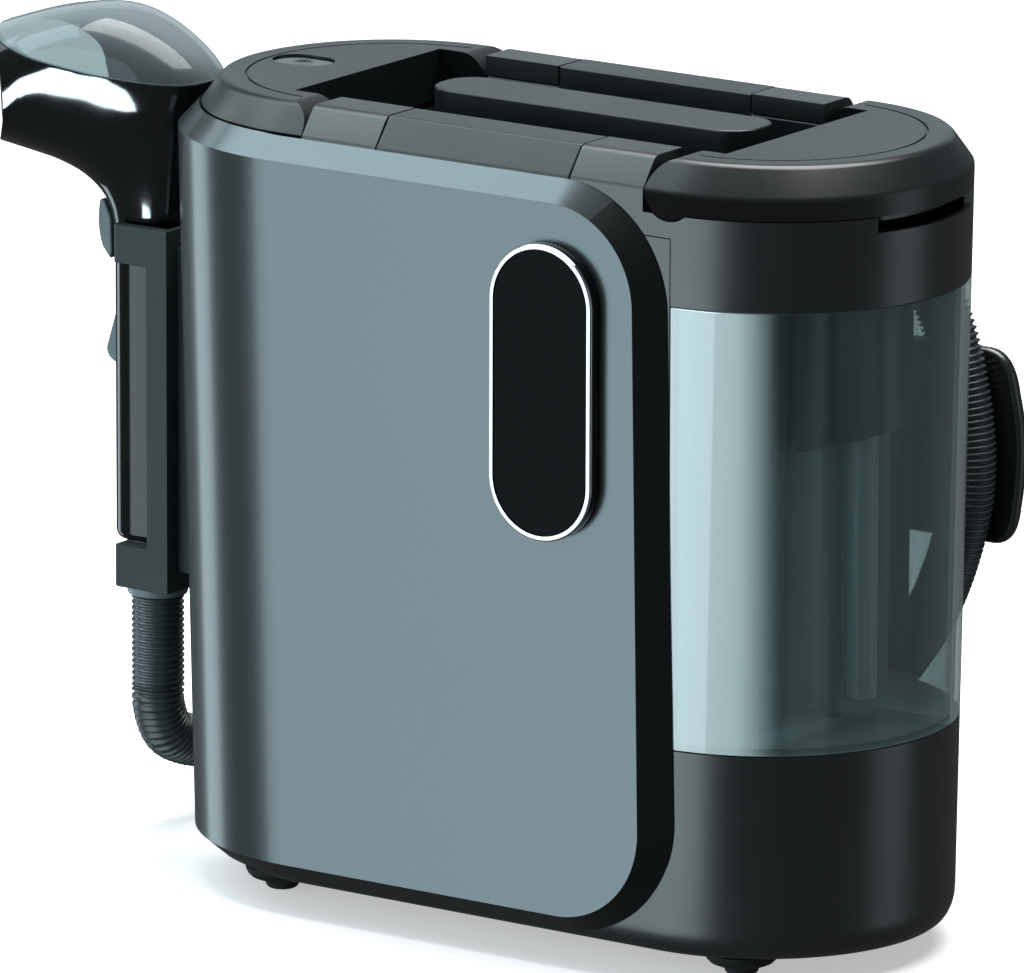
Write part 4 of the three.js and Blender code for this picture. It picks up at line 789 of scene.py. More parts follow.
def finish_mesh(mesh: bpy.types.Mesh, name: str, edges: Optional[Edges]) -> bpy.types.Object:
    """Rounds a mesh's edges, smooths its shading and leaves it as a plain mesh.

    Args:
        mesh: The mesh, in metres in the shared frame.
        name: The piece's name.
        edges: How its edges are finished, or nothing for smooth shading only.

    Returns:
        The piece, at the origin.
    """
    piece = bpy.data.objects.new(name, mesh)
    bpy.context.scene.collection.objects.link(piece)
    if edges is not None and edges.width > 0:
        bevel = piece.modifiers.new("round", "BEVEL")
        bevel.limit_method, bevel.angle_limit = "ANGLE", math.radians(edges.angle)
        bevel.width, bevel.segments = edges.width * 0.001, edges.segments
        bevel.use_clamp_overlap = True
        bevel.miter_outer = "MITER_ARC"
    graph = bpy.context.evaluated_depsgraph_get()
    made = bpy.data.meshes.new_from_object(piece.evaluated_get(graph))
    piece.modifiers.clear()
    made.shade_smooth()
    made.set_sharp_from_angle(angle=math.radians(edges.smooth if edges else 50.0))
    piece.data = made
    weigh = piece.modifiers.new("even", "WEIGHTED_NORMAL")
    weigh.keep_sharp, weigh.weight = True, 80
    graph = bpy.context.evaluated_depsgraph_get()
    made = bpy.data.meshes.new_from_object(piece.evaluated_get(graph))
    piece.modifiers.clear()
    piece.data = made
    made.name = name
    return piece


def dress(piece: bpy.types.Object, finish: "Finish | Clear", body: str,
          nodes: Sequence[str] = ()) -> bpy.types.Object:
    """Gives a piece its material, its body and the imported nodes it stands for.

    Args:
        piece: The piece.
        finish: Its finish.
        body: The body it moves with.
        nodes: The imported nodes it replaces.

    Returns:
        The same piece.
    """
    piece.data.materials.clear()
    piece.data.materials.append(finish.make())
    if nodes:
        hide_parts(*nodes)
    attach(piece, body)
    log.info("%s: %d faces, rides %s", piece.name, len(piece.data.polygons), body)
    return piece


@dataclass
class Part:
    """What is the same for all pieces of one sub-assembly."""

    body: str = "machine"

    def piece(self, form: Form, name: str, finish: "Finish | Clear", nodes: Sequence[str],
              edges: Optional[Edges] = None, body: Optional[str] = None,
              slot: str = "housing") -> bpy.types.Object:
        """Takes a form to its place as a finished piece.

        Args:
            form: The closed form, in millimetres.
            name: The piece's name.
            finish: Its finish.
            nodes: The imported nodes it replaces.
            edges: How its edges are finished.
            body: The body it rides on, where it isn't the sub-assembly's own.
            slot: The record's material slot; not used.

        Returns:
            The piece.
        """
        edges = edges or Edges()
        mesh = form.mesh.copy()
        work = bmesh.new()
        work.from_mesh(mesh)
        bmesh.ops.remove_doubles(work, verts=work.verts, dist=0.02)
        bmesh.ops.dissolve_limit(work, angle_limit=math.radians(edges.flat), verts=work.verts,
                                 edges=work.edges)
        bmesh.ops.transform(work, verts=work.verts,
                            matrix=Matrix.Scale(0.001, 4) @ Matrix.Translation(ORIGIN))
        work.to_mesh(mesh)
        work.free()
        made = finish_mesh(mesh, name, edges)
        return dress(made, finish, body or self.body, nodes)

    def keep_node(self, node: str, finish: "Finish | Clear") -> None:
        """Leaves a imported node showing, with a new material on its slots.

        Args:
            node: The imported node's name.
            finish: What its slots take.
        """
        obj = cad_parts[node]
        for i in range(len(obj.data.materials)):
            obj.data.materials[i] = finish.make()
        if not len(obj.data.materials):
            obj.data.materials.append(finish.make())
        log.info("%s: kept as packed", node)


# ------------------------------------------------------------------------------ repeated shapes
class Recipe:
    """A geometry tree with named sizes, run once and left as a plain mesh."""

    def __init__(self, name: str, sizes: dict[str, float], finish: Finish) -> None:
        """Starts the tree.

        Args:
            name: The tree's name.
            sizes: Its named inputs and their values, in metres unless they are counts.
            finish: What the result is made of.
        """
        self.sizes, self.finish = sizes, finish
        self.tree = bpy.data.node_groups.new(name, "GeometryNodeTree")
        face = self.tree.interface
        face.new_socket(name="Geometry", in_out="INPUT", socket_type="NodeSocketGeometry")
        face.new_socket(name="Geometry", in_out="OUTPUT", socket_type="NodeSocketGeometry")
        self.sockets = {key: face.new_socket(name=key, in_out="INPUT",
                                             socket_type="NodeSocketFloat") for key in sizes}
        self.start = self.tree.nodes.new("NodeGroupInput")
        self.end = self.tree.nodes.new("NodeGroupOutput")

    def add(self, kind: str, settings: Optional[dict] = None, links: Optional[dict] = None,
            **attributes: object) -> bpy.types.Node:
        """Adds one node to the tree."""
        return add_node(self.tree, kind, settings, links, **attributes)

    def close(self, geometry: bpy.types.NodeSocket) -> None:
        """Ends the tree with real geometry and its material.

        Args:
            geometry: The tree's last geometry socket.
        """
        real = self.add("GeometryNodeRealizeInstances", {}, {"Geometry": geometry})
        painted = self.add("GeometryNodeSetMaterial", {"Material": self.finish.make()},
                           {"Geometry": real.outputs["Geometry"]})
        self.tree.links.new(painted.outputs["Geometry"], self.end.inputs[0])

    def run(self, mesh: bpy.types.Mesh, name: str) -> bpy.types.Object:
        """Runs the tree on a mesh.

        Args:
            mesh: What goes in, in metres in the shared frame.
            name: The piece's name.

        Returns:
            The piece, with a plain mesh and no modifier.
        """
        piece = bpy.data.objects.new(name, mesh)
        bpy.context.scene.collection.objects.link(piece)
        modifier = piece.modifiers.new("recipe", "NODES")
        modifier.node_group = self.tree
        for key, socket in self.sockets.items():
            modifier[socket.identifier] = self.sizes[key]
        graph = bpy.context.evaluated_depsgraph_get()
        made = bpy.data.meshes.new_from_object(piece.evaluated_get(graph))
        piece.modifiers.clear()
        piece.data = made
        made.name = name
        return piece


class RibbedTube(Recipe):
    """A corrugated hose along a line: its radius rises and falls with its length."""

    def __init__(self, radius: float, rib: float, pitch: float, sides: int) -> None:
        """Builds the tree.

        Args:
            radius: Outer radius, in metres.
            rib: Depth of a rib.
            pitch: From rib to rib.
            sides: Facets round the hose.
        """
        super().__init__("ribbed_tube", {"Radius": radius, "Rib": rib, "Pitch": pitch}, HOSE_PE)
        size = self.start.outputs
        step = self.add("ShaderNodeMath", {1: 6.0}, {0: size["Pitch"]}, operation="DIVIDE")
        line = self.add("GeometryNodeMeshToCurve", {}, {"Mesh": size["Geometry"]})
        fine = self.add("GeometryNodeResampleCurve", {},
                        {"Curve": line.outputs["Curve"], "Length": step.outputs["Value"]},
                        mode="LENGTH")
        along = self.add("GeometryNodeSplineParameter")
        turn = self.add("ShaderNodeMath", {}, {0: along.outputs["Length"], 1: size["Pitch"]},
                        operation="DIVIDE")
        angle = self.add("ShaderNodeMath", {1: 2 * math.pi}, {0: turn.outputs["Value"]},
                         operation="MULTIPLY")
        wave = self.add("ShaderNodeMath", {}, {0: angle.outputs["Value"]}, operation="SINE")
        half = self.add("ShaderNodeMath", {1: 0.5}, {0: size["Rib"]}, operation="MULTIPLY")
        middle = self.add("ShaderNodeMath", {}, {0: size["Radius"], 1: half.outputs["Value"]},
                          operation="SUBTRACT")
        reach = self.add("ShaderNodeMath", {}, {0: wave.outputs["Value"], 1: half.outputs["Value"],
                                                2: middle.outputs["Value"]},
                         operation="MULTIPLY_ADD")
        wide = self.add("GeometryNodeSetCurveRadius", {},
                        {"Curve": fine.outputs["Curve"], "Radius": reach.outputs["Value"]})
        circle = self.add("GeometryNodeCurvePrimitiveCircle", {"Resolution": sides, "Radius": 1.0})
        skin = self.add("GeometryNodeCurveToMesh", {"Fill Caps": True},
                        {"Curve": wide.outputs["Curve"], "Profile Curve": circle.outputs["Curve"]})
        if "Scale" in skin.inputs:
            radius_of = self.add("GeometryNodeInputRadius")
            self.tree.links.new(radius_of.outputs["Radius"], skin.inputs["Scale"])
        soft = self.add("GeometryNodeSetShadeSmooth", {}, {"Geometry": skin.outputs["Mesh"]})
        self.close(soft.outputs["Geometry"])


class Row(Recipe):
    """Copies of one small form at the points of a mesh."""

    def __init__(self, name: str, pattern: bpy.types.Object, finish: Finish) -> None:
        """Builds the tree.

        Args:
            name: The tree's name.
            pattern: The object that is copied to each point.
            finish: What the copies are made of.
        """
        super().__init__(name, {"Size": 1.0}, finish)
        item = self.add("GeometryNodeObjectInfo", {"Object": pattern})
        points = self.add("GeometryNodeMeshToPoints", {}, {"Mesh": self.start.outputs["Geometry"]})
        copies = self.add("GeometryNodeInstanceOnPoints", {}, {
            "Points": points.outputs["Points"], "Instance": item.outputs["Geometry"],
            "Scale": self.start.outputs["Size"]})
        self.close(copies.outputs["Instances"])


def copies(name: str, form: Form, places: Sequence[Point3], finish: Finish,
           edges: Optional[Edges] = None) -> bpy.types.Object:
    """Makes one piece of a small form repeated at several places.

    Args:
        name: The piece's name.
        form: The small form, drawn about the drawing's origin, in millimetres.
        places: Where its copies go, in millimetres.
        finish: What they are made of.
        edges: How the form's edges are rounded.

    Returns:
        The piece.
    """
    mesh = form.mesh.copy()
    mesh.transform(Matrix.Scale(0.001, 4))
    pattern = finish_mesh(mesh, name + "_pattern", edges or Edges(0.2, 1))
    line = bpy.data.meshes.new(name)
    line.from_pydata([at(p) for p in places], [], [])
    piece = Row(name, pattern, finish).run(line, name)
    bpy.data.objects.remove(pattern)
    return piece


# ------------------------------------------------------------------------------ studio
COOL_LIGHT = "#e2f6fc"  # daylight tubes behind diffusion cloth


@dataclass
class Softbox:
    """One rectangular lamp: where it stands round the machine, its size and its strength."""

    name: str
    azimuth: float
    elevation: float
    distance: float
    size: Point2
    power: float
    tint: str = "#ffffff"
    only: tuple[str, ...] = ()  # pieces that it lights, or all of them
    spare: tuple[str, ...] = ()  # pieces that a flag keeps it off

    def build(self, target: Vector) -> None:
        """Hangs the lamp so that it faces the machine, or one place on it.

        Args:
            target: Where the lamps point, in metres.
        """
        lamp = bpy.data.lights.new(self.name, "AREA")
        lamp.shape, lamp.size, lamp.size_y = "RECTANGLE", self.size[0], self.size[1]
        lamp.energy, lamp.color = self.power, srgb(self.tint)[:3]
        obj = bpy.data.objects.new(self.name, lamp)
        back = Studio.direction(self.azimuth, self.elevation)
        obj.location = target + back * self.distance
        obj.rotation_mode = "QUATERNION"
        obj.rotation_quaternion = (-back).to_track_quat("-Z", "Y")
        bpy.context.scene.collection.objects.link(obj)
        if self.only or self.spare:
            lit = bpy.data.collections.new(self.name + "_lights")
            for piece in (*self.only, *self.spare):
                lit.objects.link(bpy.data.objects[piece])
            obj.light_linking.receiver_collection = lit
            if self.spare:
                for entry in lit.collection_objects:
                    entry.light_linking.link_state = "EXCLUDE"


@dataclass
class Studio:
    """Camera, floor and soft lamps."""

    target: Point3 = (-34.16, 0.0, 167.59)
    azimuth: float = 34.895
    elevation: float = 13.543
    roll: float = 0.152
    distance: float = 5.3873
    lens: float = 471.8
    lamps: list[Softbox] = field(default_factory=lambda: [
        Softbox("front_softbox", -22, 0, 2.3, (2.0, 3.2), 39, COOL_LIGHT,
                spare=("nozzle_body", "waste_tank_lid", "clean_tank_lid")),
        Softbox("left_strip", -91, 0, 1.9, (0.6, 2.4), 9, COOL_LIGHT),
        Softbox("upper_left_softbox", -70, 48, 2.2, (1.3, 1.1), 13, COOL_LIGHT),
        Softbox("top_softbox", 180, 80, 2.2, (2.2, 1.6), 76),
        Softbox("back_softbox", -148, 17, 2.4, (2.2, 0.8), 3.2, COOL_LIGHT,
                spare=("wrapped_panel", "nozzle_body")),
        Softbox("right_strip", 112, 0, 1.9, (0.8, 1.8), 2.2, COOL_LIGHT),
        Softbox("tool_kicker", -23, -9, 1.3, (0.45, 0.42), 14, COOL_LIGHT,
                only=("nozzle_body",)),
        Softbox("tank_kicker", -8, 10, 1.6, (0.8, 0.9), 22, COOL_LIGHT,
                only=("clear_tank_wall",)),
        Softbox("pipe_kicker", -20, 5, 1.6, (0.25, 1.2), 30, COOL_LIGHT,
                only=("suction_stack", "return_stack")),
        Softbox("hose_kicker", -50, 12, 1.6, (0.5, 0.8), 8, COOL_LIGHT,
                only=("suction_hose_riser", "hose_end_cuff")),
    ])
    room: float = 0.10

    @staticmethod
    def direction(azimuth: float, elevation: float) -> Vector:
        """The way from the machine towards an azimuth and elevation, in degrees."""
        a, e = math.radians(azimuth), math.radians(elevation)
        return Vector((math.sin(a) * math.cos(e), -math.cos(a) * math.cos(e), math.sin(e)))

    def build_camera(self) -> None:
        """Sets the long lens at its place before the machine."""
        data = bpy.data.cameras.new("long_lens")
        data.lens, data.sensor_width, data.sensor_fit = self.lens, 36.0, "HORIZONTAL"
        data.clip_start, data.clip_end = 0.1, 60.0
        camera = bpy.data.objects.new("camera", data)
        back = self.direction(self.azimuth, self.elevation)
        camera.location = at(self.target) + back * self.distance
        camera.rotation_mode = "QUATERNION"
        turn = (-back).to_track_quat("-Z", "Y")
        camera.rotation_quaternion = turn @ Matrix.Rotation(
            math.radians(self.roll), 3, "Z").to_quaternion()
        bpy.context.scene.collection.objects.link(camera)
        bpy.context.scene.camera = camera

    def build_floor(self) -> None:
        """Lays a plain pale floor, of opal acrylic lit from below."""
        mesh = bpy.data.meshes.new("floor")
        reach = 9.0
        mesh.from_pydata([(-reach, -reach, 0), (reach, -reach, 0), (reach, reach, 0),
                          (-reach, reach, 0)], [], [(0, 1, 2, 3)])
        floor = bpy.data.objects.new("floor", mesh)
        material = bpy.data.materials.new("opal_acrylic_light_table")
        material.use_nodes = True
        shader = material.node_tree.nodes["Principled BSDF"]
        shader.inputs["Base Color"].default_value = srgb("#fbfbfb")
        shader.inputs["Roughness"].default_value = 0.9
        shader.inputs["Emission Color"].default_value = srgb("#ffffff")
        shader.inputs["Emission Strength"].default_value = 0.45
        # Black flags keep the table's own glow off the machine's sides.
        floor.visible_diffuse = floor.visible_glossy = floor.visible_shadow = False
        mesh.materials.append(material)
        bpy.context.scene.collection.objects.link(floor)

    def build_light(self) -> None:
        """Hangs the lamps and sets the room's own light."""
        for lamp in self.lamps:
            lamp.build(at(self.target))
        world = bpy.data.worlds.new("room")
        world.use_nodes = True
        tree = world.node_tree
        back = tree.nodes["Background"]
        back.inputs["Color"].default_value = srgb("#e9eef0")
        back.inputs["Strength"].default_value = self.room
        seen = add_node(tree, "ShaderNodeBackground", {"Color": srgb("#ffffff"), "Strength": 1.0})
        path = add_node(tree, "ShaderNodeLightPath")
        mix = add_node(tree, "ShaderNodeMixShader", {}, {
            0: path.outputs["Is Camera Ray"], 1: back.outputs["Background"],
            2: seen.outputs["Background"]})
        tree.links.new(mix.outputs["Shader"], tree.nodes["World Output"].inputs["Surface"])
        bpy.context.scene.world = world
        bpy.context.scene.view_settings.view_transform = "Standard"


# ------------------------------------------------------------------------------ hose
@dataclass
class Hose(Part):
    """The suction hose, its riser under the tool, the elbow, the cradle and the two hooks."""

    diameter: float = 22.0
    pitch: float = 2.5
    rib: float = 1.5
    tool_x: float = -211.0
    plane_y: float = 92.5
    low_z: float = 27.5
    riser: Point2 = (60.0, 97.6)
    inlet: Point2 = (-22.0, 115.0)
    turns: tuple[Point2, ...] = (
        (-1.263, 0.091), (-0.964, 0.094), (-0.642, 0.1), (-0.321, 0.112), (0, 0.13),
        (0.321, 0.158), (0.621, 0.197), (0.878, 0.255), (1.092, 0.33), (1.242, 0.418),
        (1.328, 0.521), (1.306, 0.624), (1.199, 0.727), (0.996, 0.812), (0.696, 0.867),
        (0.353, 0.888), (0, 0.894), (-0.353, 0.888), (-0.696, 0.867), (-0.996, 0.812),
        (-1.199, 0.727), (-1.306, 0.624), (-1.317, 0.533), (-1.231, 0.452), (-1.06, 0.391),
        (-0.824, 0.358))

    def route(self) -> list[Point3]:
        """The hose's centre line, from below the tool to the elbow, in millimetres.

        Returns:
            Its points, in the order that the air leaves the tool.
        """
        points: list[Point3] = [(self.tool_x, 0.0, self.riser[0] - GAP),
                                (self.tool_x, 0.0, self.riser[0] - 8)]
        turn_x = self.turns[0][0] * BODY.half_span - self.tool_x
        for degrees in (3.5, 9.5, 19, 31, 44, 58.5, 73):
            a = math.radians(degrees)
            back = math.sin(a)
            drop = 17 * (1 - back) ** 6
            points.append((self.tool_x + turn_x * (1 - math.cos(a)), self.plane_y * back,
                           self.low_z + 1.5 * back + drop))
        points += [(x * BODY.half_span, self.plane_y, z * BODY.top) for x, z in self.turns]
        points += [(self.inlet[0] - 34, self.plane_y, self.inlet[1]),
                   (self.inlet[0] - 26, self.plane_y, self.inlet[1])]
        return points

    def ribbed(self, line: Sequence[Vector], name: str) -> bpy.types.Object:
        """Makes ribbed hose along a line of points given in millimetres.

        Args:
            line: Points along the middle, in millimetres.
            name: The piece's name.

        Returns:
            The hose as one object.
        """
        mesh = bpy.data.meshes.new(name)
        mesh.from_pydata([at(p) for p in line], [(i, i + 1) for i in range(len(line) - 1)], [])
        tube = RibbedTube(self.diameter * 0.0005, self.rib * 0.001, self.pitch * 0.001, 20)
        return tube.run(mesh, name)

    def build_hose(self) -> None:
        """The wound hose and the short riser that stretches when the tool is lifted."""
        line = smooth_line(self.route()[::-1], 420)
        hose = self.ribbed(line, "suction_hose")
        dress(hose, HOSE_PE, "machine", ["hose"])
        low, high = self.riser
        riser_line = [Vector((self.tool_x, 0.0, high - (high - low + GAP) * i / 20))
                      for i in range(21)]
        riser = self.ribbed(riser_line, "suction_hose_riser")
        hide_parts("hose_riser")
        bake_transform(riser)

    def build_elbow(self) -> None:
        """The elbow that takes the hose's air into the body, with its two clamp rings."""
        x, z = self.inlet
        radius = self.diameter / 2 + 0.3
        arm = Form.bar("x", radius, (x - 25.6, x), (self.plane_y, z), 40)
        ball = Form.turned([(radius * math.cos(math.radians(a)), self.inlet[1]
                             + radius * math.sin(math.radians(a)))
                            for a in range(-90, 91, 9)], (x, self.plane_y), 40)
        spigot = Form.bar("y", 12.0, (BODY.radius - WALL - 2, self.plane_y), (x, z), 40)
        ring = Form.bar("y", 13.4, (BODY.radius + 5, BODY.radius + 8.5), (x, z), 40)
        cuff = Form.bar("x", radius + 1.2, (x - 25.6, x - 19), (self.plane_y, z), 40)
        self.piece(arm.join(ball, spigot, ring, cuff), "hose_elbow", DOCK_ABS, ["inlet_elbow"],
                   Edges(0.6, 2))

    def build_cradle(self) -> None:
        """The cradle on the body's back and the two hooks that hold the turns."""
        self.piece(Form.of_node("hose_cradle"), "hose_cradle_moulding", DOCK_ABS,
                   ["hose_cradle"], Edges(0.9, 2))
        for side, name in ((1, "hose_hook_right"), (-1, "hose_hook_left")):
            self.piece(self.hook(side), name + "_cap", SATIN_ABS, [name], Edges(2.2, 4))

    def hook(self, side: int) -> Form:
        """The rounded cap of one hook.

        Args:
            side: 1 for the right one and -1 for the left one.

        Returns:
            The cap.
        """
        x0, x1 = 0.685 * BODY.half_span, 1.515 * BODY.half_span
        middle = 0.5636 * BODY.top
        z0, z1 = middle - 40, middle + 40
        outline: list[Point2] = [(x0 + 12, z0), (x1 - 14, z0)]
        curves = [((x1 - 14, z0), (x1 - 4, z0), (x1 - 2.4, z0 + 16)),
                  ((x1 - 2.4, z0 + 16), (x1 + 2.2, middle + 2), (x1 - 3.4, z1 - 18)),
                  ((x1 - 3.4, z1 - 18), (x1 - 6, z1), (x1 - 18, z1)),
                  ((x0 + 12, z1), (x0, z1), (x0, z1 - 12)),
                  ((x0, z0 + 12), (x0, z0), (x0 + 12, z0))]
        for a, b, c in curves:
            for i in range(11):
                t = i / 10
                outline.append(tuple((1 - t) ** 2 * p + 2 * t * (1 - t) * q + t * t * r
                                     for p, q, r in zip(a, b, c)))
        clean = [p for i, p in enumerate(outline)
                 if math.dist(p, outline[i - 1]) > 0.05]
        y = self.plane_y + self.diameter / 2 + 0.9
        return Form.slab_xz([(side * px, pz) for px, pz in clean], (y, y + 6.0))

    def build(self) -> None:
        """Builds all of it."""
        self.build_hose()
        self.build_elbow()
        self.build_cradle()


# ------------------------------------------------------------------------------ base
@dataclass
class Base(Part):
    """The base moulding, its plate, feet, screws, outlet grille and cord gland."""

    edge: float = 7.0
    plate_inset: float = 10.4
    foot_radius: float = 15.0
    screw_x: float = 60.0
    grille_half: float = 34.0
    grille_z: Point2 = (50.0, 84.0)
    slats: int = 9
    gland: Point2 = (52.0, 27.0)

    def corners(self, x: float, y: float) -> list[Point2]:
        """Four places about the middle."""
        return [(x, -y), (-x, -y), (-x, y), (x, y)]

    def housing(self) -> Form:
        """The base moulding: a round-edged tub with its holes.

        Returns:
            The tub.
        """
        b, e = BODY.bottom, self.edge
        curve = [(b + e * 1.8 * (1 - math.cos(math.radians(a))),
                  e * (1 - math.sin(math.radians(a)))) for a in range(0, 91, 15)]
        outer = Form.stack([body_ring(z, inset) for z, inset in curve]
                           + [body_ring(BODY.deck, 0)])
        room = Form.stack([
            body_ring(b - 1, self.plate_inset - GAP),
            body_ring(b + WALL + 1, self.plate_inset - GAP),
            body_ring(b + e * 2, WALL), body_ring(BODY.deck - WALL, WALL)])
        holes = [
            Form.bar("z", 9.0, (BODY.deck - 4, BODY.deck + 1), (-128.0, 0.0), 32),
            Form.bar("z", 16.0, (BODY.deck - 4, BODY.deck + 1), (18.0, 0.0), 40),
            Form.block((-self.grille_half, self.grille_half),
                       (BODY.radius - WALL - 1, BODY.radius + 1), self.grille_z),
            Form.bar("y", 6.4, (BODY.radius - WALL - 1, BODY.radius + 1), self.gland, 32)]
        return outer.cut(room, *holes)

    def plate(self) -> Form:
        """The bottom plate with its four sunk screw holes and a stiffening recess.

        Returns:
            The plate.
        """
        b = BODY.bottom
        form = Form.stack([body_ring(b, self.plate_inset), body_ring(b + WALL, self.plate_inset)])
        for x, y in self.corners(self.screw_x, 48.0):
            form = form.cut(Form.bar("z", 3.0, (b - 1, b + 4), (x, y), 24),
                            Form.bar("z", 4.4, (b - 1, b + 1.5), (x, y), 24))
        recess = Form.slab_xy(rounded((-42.0, 42.0), (-30.0, 30.0), 8), (b - 1, b + 0.8))
        return form.cut(recess)

    def foot(self, x: float, y: float) -> Form:
        """One stepped rubber foot.

        Args:
            x: Place along X.
            y: Place along Y.

        Returns:
            The foot.
        """
        profile = [(0.0, 0.0), (4.2, 0.0), (5.6, 0.3), (6.5, 1.1), (6.9, 2.2), (7.0, 3.2),
                   (7.6, 3.8), (10.2, 4.2), (12.6, 5.2), (14.0, 6.6), (14.8, 8.2),
                   (self.foot_radius, BODY.bottom - GAP), (0.0, BODY.bottom - GAP)]
        return Form.turned(profile, (x, y), 56)

    def screws(self) -> None:
        """The four screws, with crossed slots, copied to their places."""
        b = BODY.bottom
        screw = Form.turned([(0, 0.2), (3.4, 0.2), (4.0, 0.7), (4.0, 1.2), (2.6, 1.2), (2.6, 12.0),
                             (0, 12.8)], (0.0, 0.0), 24)
        screw = screw.cut(Form.block((-2.4, 2.4), (-0.5, 0.5), (-1.0, 1.0)),
                          Form.block((-0.5, 0.5), (-2.4, 2.4), (-1.0, 1.0)))
        # The screw is drawn about its own axis, and copies() puts one at each place.
        piece = copies("base_screw_set", screw, [(x, y, b) for x, y in
                                                  self.corners(self.screw_x, 48.0)],
                       TURNED_STEEL, Edges(0.15, 1))
        dress(piece, TURNED_STEEL, "machine", [f"base_screw_{i}" for i in (1, 2, 3, 4)])

    def grille(self) -> None:
        """The outlet's frame with its row of slanted slats."""
        z0, z1 = self.grille_z[0] + GAP, self.grille_z[1] - GAP
        half, back = self.grille_half - GAP, BODY.radius
        frame_form = Form.block((-half, half), (back - WALL, back), (z0, z1)).cut(
            Form.block((-half + 4, half - 4), (back - WALL - 1, back + 1), (z0 + 3, z1 - 3)))
        self.piece(frame_form, "outlet_frame", DOCK_ABS, ["exhaust_grille"], Edges(0.6, 2))
        step = (z1 - z0 - 6) / self.slats
        slat = Form.stack([[(x, -WALL + 0.2, 0.9), (x, -WALL + 0.2, -0.1), (x, -0.3, -1.0),
                            (x, -0.3, 0.1)] for x in (-half + 3.5, half - 3.5)])
        places = [(0.0, back, z0 + 3 + step * (i + 0.5)) for i in range(self.slats)]
        dress(copies("outlet_slats", slat, places, DOCK_ABS), DOCK_ABS, "machine")

    def cord_gland(self) -> Form:
        """The gland that the mains lead passes through, with its moulded ribs.

        Returns:
            The gland.
        """
        x, z = self.gland
        y = BODY.radius
        form = Form.bar("y", 6.0, (y - WALL, y + 8), self.gland, 40)
        form = form.join(Form.bar("y", 8.4, (y + GAP, y + 2.4), self.gland, 40))
        for i in range(2):
            form = form.join(Form.bar("y", 6.8, (y + 3.8 + i * 2.1, y + 4.8 + i * 2.1), (x, z), 40))
        return form.cut(Form.bar("y", 3.0, (y - WALL - 1, y + 9), self.gland, 32))

    def build(self) -> None:
        """Builds all of it."""
        self.piece(self.housing(), "base_moulding", SATIN_ABS, ["base_housing"], Edges(0.5, 2))
        self.piece(self.plate(), "base_cover", DOCK_ABS, ["base_plate"], Edges(0.5, 1))
        places = self.corners(BODY.half_span + 18.6, BODY.recess_half_depth)
        for (x, y), name in zip(places, ("front_right", "front_left", "back_left", "back_right")):
            self.piece(self.foot(x, y), f"rubber_foot_{name}", RUBBER, [f"foot_{name}"],
                       Edges(0.3, 1), slot="rubber")
        self.screws()
        self.grille()
        self.piece(self.cord_gland(), "lead_gland", RUBBER, ["cord_gland"], Edges(0.4, 2),
                   slot="rubber")


# ------------------------------------------------------------------------------ shell and deck
@dataclass
class Shell(Part):
    """The body's middle housing, the hand recess with the fixed rim, and the grip."""

    grip_centre: float = 9.0
    grip_depth: float = 30.0
    grip_height: float = 18.0
    inlet: Point2 = (-22.0, 115.0)

    def shell(self) -> Form:
        """The middle housing: walls at the front, back and left, and the nose at the right.

        Returns:
            The housing.
        """
        h0, h1 = BODY.deck + GAP, BODY.rim_bottom - GAP
        x, nose, deep = BODY.shell_right, BODY.nose_right, BODY.nose_half_depth
        outer = body_form(0, h0, h1).keep(left_of(x)).join(
            Form.block((x - 30, nose), (-deep, deep), (h0, h1)))
        room = body_form(WALL, h0 - 1, h1 + 1).keep(left_of(x - WALL)).join(
            Form.block((x - 40, nose - 1.8), (-deep + 1.8, deep - 1.8), (h0 - 1, h1 + 1)))
        bay = BODY.recess_left - BODY.pan_wall - GAP
        wall = Form.block((bay - WALL, bay), (-BODY.radius + 1, BODY.radius - 1), (h0, h1)).keep(
            body_form(1, h0, h1))
        hole = Form.bar("y", 12.4, (BODY.radius - WALL - 1, BODY.radius + 1), self.inlet, 40)
        return outer.cut(room).join(wall).cut(hole)

    def grip(self) -> Form:
        """The grip across the recess, on two legs.

        Returns:
            The grip.
        """
        top, half, y = BODY.top, 77.0, self.grip_depth / 2
        x0, x1 = self.grip_centre - half, self.grip_centre + half
        low = top - self.grip_height
        form = Form.slab_xy(rounded((x0, x1), (-y, y), y - 2, 12), (low, top))
        for a in (x0 + 4, x1 - 20):
            form = form.join(Form.slab_xy(rounded((a, a + 16), (-y + 3, y - 3), 6),
                                          (BODY.recess_floor + GAP, low + 1)))
        return form

    def build(self) -> None:
        """Builds all of it."""
        self.piece(self.shell(), "middle_housing", SATIN_ABS, ["main_shell"], Edges(0.6, 2))
        self.piece(Form.of_node("top_deck"), "recess_and_rim", RIM_ABS, ["top_deck"],
                   Edges(0.8, 2, angle=24))
        self.piece(self.grip(), "carry_grip", RIM_ABS, ["grip_bar"], Edges(2.4, 4))


